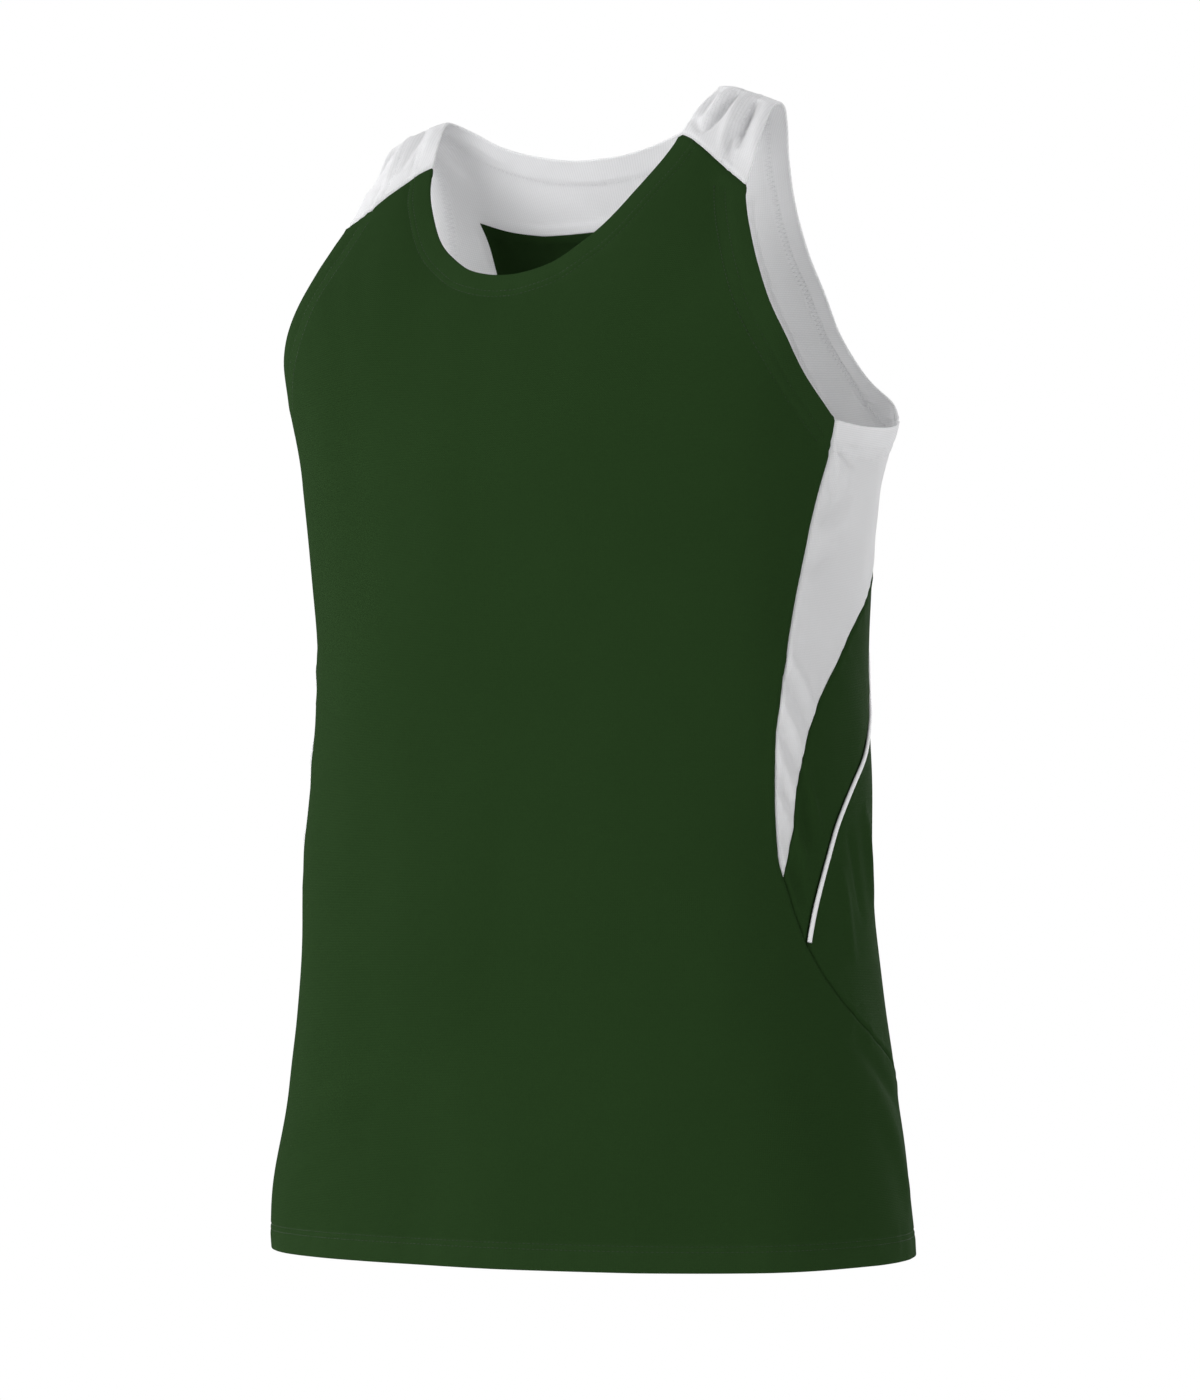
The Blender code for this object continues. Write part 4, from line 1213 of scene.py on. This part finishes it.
# %% Running a tree on paths
def along_paths(name, tree, paths, inputs):
    """Runs a tree on paths, each (points, outward directions), and keeps a plain mesh."""
    host = bpy.data.meshes.new(name + "_paths")
    points = np.vstack([line for line, _ in paths])
    starts = np.cumsum([0] + [len(line) for line, _ in paths])
    edges = [(i, i + 1) for a, b in zip(starts, starts[1:]) for i in range(a, b - 1)]
    host.from_pydata(points, edges, [])
    ways = np.vstack([way for _, way in paths])
    host.attributes.new("out", "FLOAT_VECTOR", "POINT").data.foreach_set("vector", ways.ravel())
    sewer = add_object(name + "_host", host)
    modifier = sewer.modifiers.new("tree", "NODES")
    modifier.node_group = tree
    for item in tree.interface.items_tree:
        if item.name in inputs:
            modifier[item.identifier] = inputs[item.name]
    made = sewer.evaluated_get(bpy.context.evaluated_depsgraph_get())
    mesh = bpy.data.meshes.new_from_object(made)
    mesh.name = name
    bpy.data.objects.remove(sewer)
    bpy.data.meshes.remove(host)
    return add_object(name, mesh)


# %% Where the stitches run
ROW_END = 1.2 * MM  # a row stops this far from a seam
THREAD_SINK = 0.12 * MM
ROW_STEP = 1.5 * MM  # between the points of a row's path
LOOPER_OVERLAP = 1.05  # looper threads run on a little past the rows


def rows_of_panel(edges):
    """The panel's hem lines moved in by each row's distance: (flat line, which row)."""
    loop, _ = panel_loop(edges)
    seams = [smooth_form(respaced(line, COARSE_STEP)) for line, kind in edges if kind in SEAMS]
    found = []
    for line, kind in edges:
        if kind not in HEMS:
            continue
        rows = HEMS[kind].rows
        for which, distance in enumerate((*rows, sum(rows) / 2)):
            moved = moved_in(respaced(line, ROW_STEP), distance)
            moved = moved[inside(loop, moved)]
            points = smooth_form(moved)
            for seam in seams:
                away = nearest_on(seam, points)[0]
                moved, points = moved[away > ROW_END], points[away > ROW_END]
            found.append((moved, which))
    return found


def on_skin(edges, line, side):
    """A flat line laid on a panel's outer (1) or inner (-1) skin, with its directions."""
    outer, inner, _ = layers(edges, line)
    lift = outer - THREAD_SINK if side > 0 else -(inner - THREAD_SINK)
    return cloth_at(line, lift), outward(line) * side


# %% Sewing thread
WAVE_SCALE = 0.314  # a wave texture's scale, times the metres from band to band
TWIST, TWIST_DEPTH = 0.45 * MM, 0.05 * MM


def slanting_ridges(name, colour, ridges, ridge_painted_shade, depth, finish):
    """Yarn or tape with fine slanting ridges, and painted shade that makes it a little darker between
    them.
    """
    made = new_material(name)
    tree = made.node_tree
    bands = {"Vector": add_node(tree, "ShaderNodeTexCoord", out="Object"), **ridges}
    wave = add_node(tree, "ShaderNodeTexWave", bands, out=1, bands_direction="DIAGONAL")
    # painted shade: the colour is darker between the ridges and a touch lighter on them
    inputs = {"Base Color": shaded(tree, linear(colour), wave, *ridge_painted_shade), **finish}
    finish_material(tree, inputs, wave, depth)
    return made


def spun_polyester(name, colour):
    """Sewing thread: smoother than the knit, with the fine slanting ridges of its twist."""
    ridges = {"Scale": WAVE_SCALE / TWIST, "Distortion": 1.0}
    finish = {"Roughness": 0.55, "Specular IOR Level": 0.25}
    # painted shade between the twist's ridges, from 0.86 to 1.06 of the colour
    return slanting_ridges(name, colour, ridges, (0.86, 1.06), TWIST_DEPTH, finish)


# %% Sewing every hem
LOCKSTITCH = {"Pitch": 2.9 * MM, "Length": 2.5 * MM, "Width": 0.62 * MM, "Height": 0.55 * MM}
LOOPER = {"Pitch": 1.5 * MM, "Width": 0.40 * MM, "Height": 0.30 * MM}

green_thread = spun_polyester("green_spun_polyester_thread", "#1C2F17")
white_thread = spun_polyester("white_spun_polyester_thread", "#E9E9EB")
sewing = sewing_tree()
stitches = {}
for seed, (name, (edges, _)) in enumerate(PANELS.items()):
    rows = rows_of_panel(edges)
    if not rows:
        continue
    thread = white_thread if name.startswith(("yoke", "insert")) else green_thread
    common = {"Seed": seed, "Material": thread}
    outside = [on_skin(edges, line, 1) for line, which in rows if which < 2]
    piece = name.replace("cloth", "stitches")
    stitches[name] = [along_paths(piece, sewing, outside, {**LOCKSTITCH, **common, "Slant": 0.0})]
    inner = [(line, which) for line, which in rows if which == 2]
    kinds = [kind for _, kind in edges if kind in HEMS]
    for kind in sorted(set(kinds)):
        lines = [on_skin(edges, line, -1) for (line, _), k in zip(inner, kinds) if k == kind]
        gauge = HEMS[kind].rows[1] - HEMS[kind].rows[0]
        slope = math.atan2(gauge, LOOPER["Pitch"])
        size = {"Length": math.hypot(gauge, LOOPER["Pitch"]) * LOOPER_OVERLAP, "Slant": slope}
        made = along_paths(f"{piece}_{kind}_inside", sewing, lines, {**LOOPER, **common, **size})
        stitches[name].append(made)
    print(name, "stitches:", sum(len(s.data.polygons) for s in stitches[name]) // BEAD_FACES)

# %% [markdown]
# ## The piping
# A narrow strip of white cloth, folded and caught in the seam between the side panel and
# the back, shows as a thin raised line. Its shape is one small profile carried along a path,
# so Geometry Nodes make it with Curve to Mesh. The path is the seam's own line, and the
# cloth's outward directions keep the strip flat on the garment.

# %% A tree that carries a profile along a path
PROFILE_SIDES = 14
POINT_SHARE = 0.25  # the strip's size at its pointed end


def piping_tree():
    """Carries an oval profile along the path, narrower at the path's start."""
    tree, given, path, out = new_tree("piping", ("Width", "Height", "Point"))
    normals = {"Curve": path, "Normal": out}
    flat = add_node(tree, "GeometryNodeSetCurveNormal", normals, mode="FREE")
    run = add_node(tree, "GeometryNodeSplineParameter", out="Length")
    full = add_node(
        tree, "ShaderNodeMapRange", {"Value": run, "From Max": given["Point"], "To Min": POINT_SHARE}
    )
    pointed = add_node(tree, "GeometryNodeSetCurveRadius", {0: flat, "Radius": full})
    round_one = {"Resolution": PROFILE_SIDES, "Radius": 0.5}
    ring = add_node(tree, "GeometryNodeCurvePrimitiveCircle", round_one)
    size = add_node(tree, "ShaderNodeCombineXYZ", (given["Height"], given["Width"], 1.0))
    profile = add_node(tree, "GeometryNodeTransform", {"Geometry": ring, "Scale": size})
    swept = {"Curve": pointed, "Profile Curve": profile, "Fill Caps": True}
    return finish_tree(tree, add_node(tree, "GeometryNodeCurveToMesh", swept), given["Material"])


# %% The piping on both sides
PIPING_WIDTH = 3.3 * MM
PIPING_HEIGHT = 2.2 * MM
PIPING_POINT = 6.0 * MM  # it narrows into the seam over this length at its foot
PIPING_LIFT = 0.95 * MM
PIPING_ASIDE = 0.7 * MM  # it lies over the back's edge, and leaves a groove on its other side
PIPING_TRIM = 2.0 * MM
PIPING_STEP = 2.0 * MM  # between the points of its path
RIB, RIB_DEPTH = 0.8 * MM, 0.06 * MM


def twill_tape(name, colour):
    """Bias-cut woven polyester: crisper than the knit, with fine slanting ribs."""
    ridges = {"Scale": WAVE_SCALE / RIB, "Distortion": 0.4, "Detail": 1.0}
    finish = {"Roughness": 0.6, "Specular IOR Level": 0.25, "Sheen Weight": 0.1}
    # painted shade between the tape's ribs, from 0.93 to 1.03 of the colour
    return slanting_ridges(name, colour, ridges, (0.93, 1.03), RIB_DEPTH, finish)


tape = twill_tape("white_polyester_twill_tape", "#DDDDDE")
carry = piping_tree()
line = respaced(CUTS["piping"], PIPING_STEP)
lengths = real_lengths(line)
line = moved_in(line, -PIPING_ASIDE)[(lengths > PIPING_TRIM) & (lengths < lengths[-1] - PIPING_TRIM)]
piping = {}
for name, side in (("piping_strip_left", 1), ("piping_strip_right", -1)):
    flat = line * (side, 1)
    path = (cloth_at(flat, np.full(len(flat), PIPING_LIFT)), outward(flat))
    size = {"Width": PIPING_WIDTH, "Height": PIPING_HEIGHT, "Point": PIPING_POINT}
    size |= {"Seed": 0, "Material": tape}
    piping[name] = along_paths(name, carry, [path], size)
print("piping shows for", round(lengths[-1] / MM), "mm on each side")

# %% [markdown]
# ## Each panel's cut
# Every panel was cut from flat cloth before it was sewn. The cut is the panel as it shows,
# with its hems turned out again. Its width is measured level round the cloth and its length
# straight up it, and the rectangle that it was cut from is the smallest one that holds it.
# The sizes are printed with each panel's area.

# %% The flat cuts
def run_length(start, end, steps=24):
    """Distances along the cloth between flat places, along straight flat lines."""
    shares = np.linspace(0, 1, steps + 1)[:, None, None]
    stops = start * (1 - shares) + end * shares
    points = smooth_form(stops.reshape(-1, 2)).reshape(steps + 1, -1, 3)
    return np.linalg.norm(np.diff(points, axis=0), axis=2).sum(axis=0)


def laid_flat(places):
    """Places as real distances, level round the cloth and straight up it, from a middle."""
    middle = (places.min(axis=0) + places.max(axis=0)) / 2
    level, upright = places.copy(), places.copy()
    level[:, 0], upright[:, 1] = middle
    signs = np.sign(places - middle)
    return np.stack([run_length(level, places), run_length(upright, places)], axis=1) * signs


def cut_rectangle(edges):
    """Width and length of the smallest rectangle that holds a panel, its hems turned out."""
    opened = [moved_in(line, -HEMS[kind].width) if kind in HEMS else line for line, kind in edges]
    outline = laid_flat(np.vstack(opened))
    best = None
    for turn in np.radians(np.arange(90)):
        sides = (
            np.ptp(outline @ (math.cos(turn), math.sin(turn))),
            np.ptp(outline @ (-math.sin(turn), math.cos(turn))),
        )
        if best is None or sides[0] * sides[1] < best[0] * best[1]:
            best = sides
    return float(best[0]), float(best[1])


def cut_area(edges, piece):
    """Half the surface of the closed shell, and the turned part of each hem."""
    turned = sum(real_lengths(line)[-1] * HEMS[kind].width for line, kind in edges if kind in HEMS)
    return sum(face.area for face in piece.data.polygons) / 2 + turned


# %% What each piece stands for and rides on
NODES = {
    "front_cloth": "front",
    "back_cloth": "back",
    "yoke_cloth": "back_yoke",
    "insert_cloth_left": "side_insert_left",
    "insert_cloth_right": "side_insert_right",
    "side_cloth_left": "side_panel_left",
    "side_cloth_right": "side_panel_right",
}
for name, strip in piping.items():
    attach(strip, "root")
    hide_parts(name.replace("piping_strip", "piping"))
for name, node in NODES.items():
    sewn = stitches.get(name, [])
    for piece in (cloth[name], *sewn):
        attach(piece, "root")
    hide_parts(node)
    edges = PANELS[name][0]
    size, area = cut_rectangle(edges), cut_area(edges, cloth[name])
    print(f"{name}: cut from {size[0] / MM:.0f} x {size[1] / MM:.0f} mm, {area:.4f} square metres")
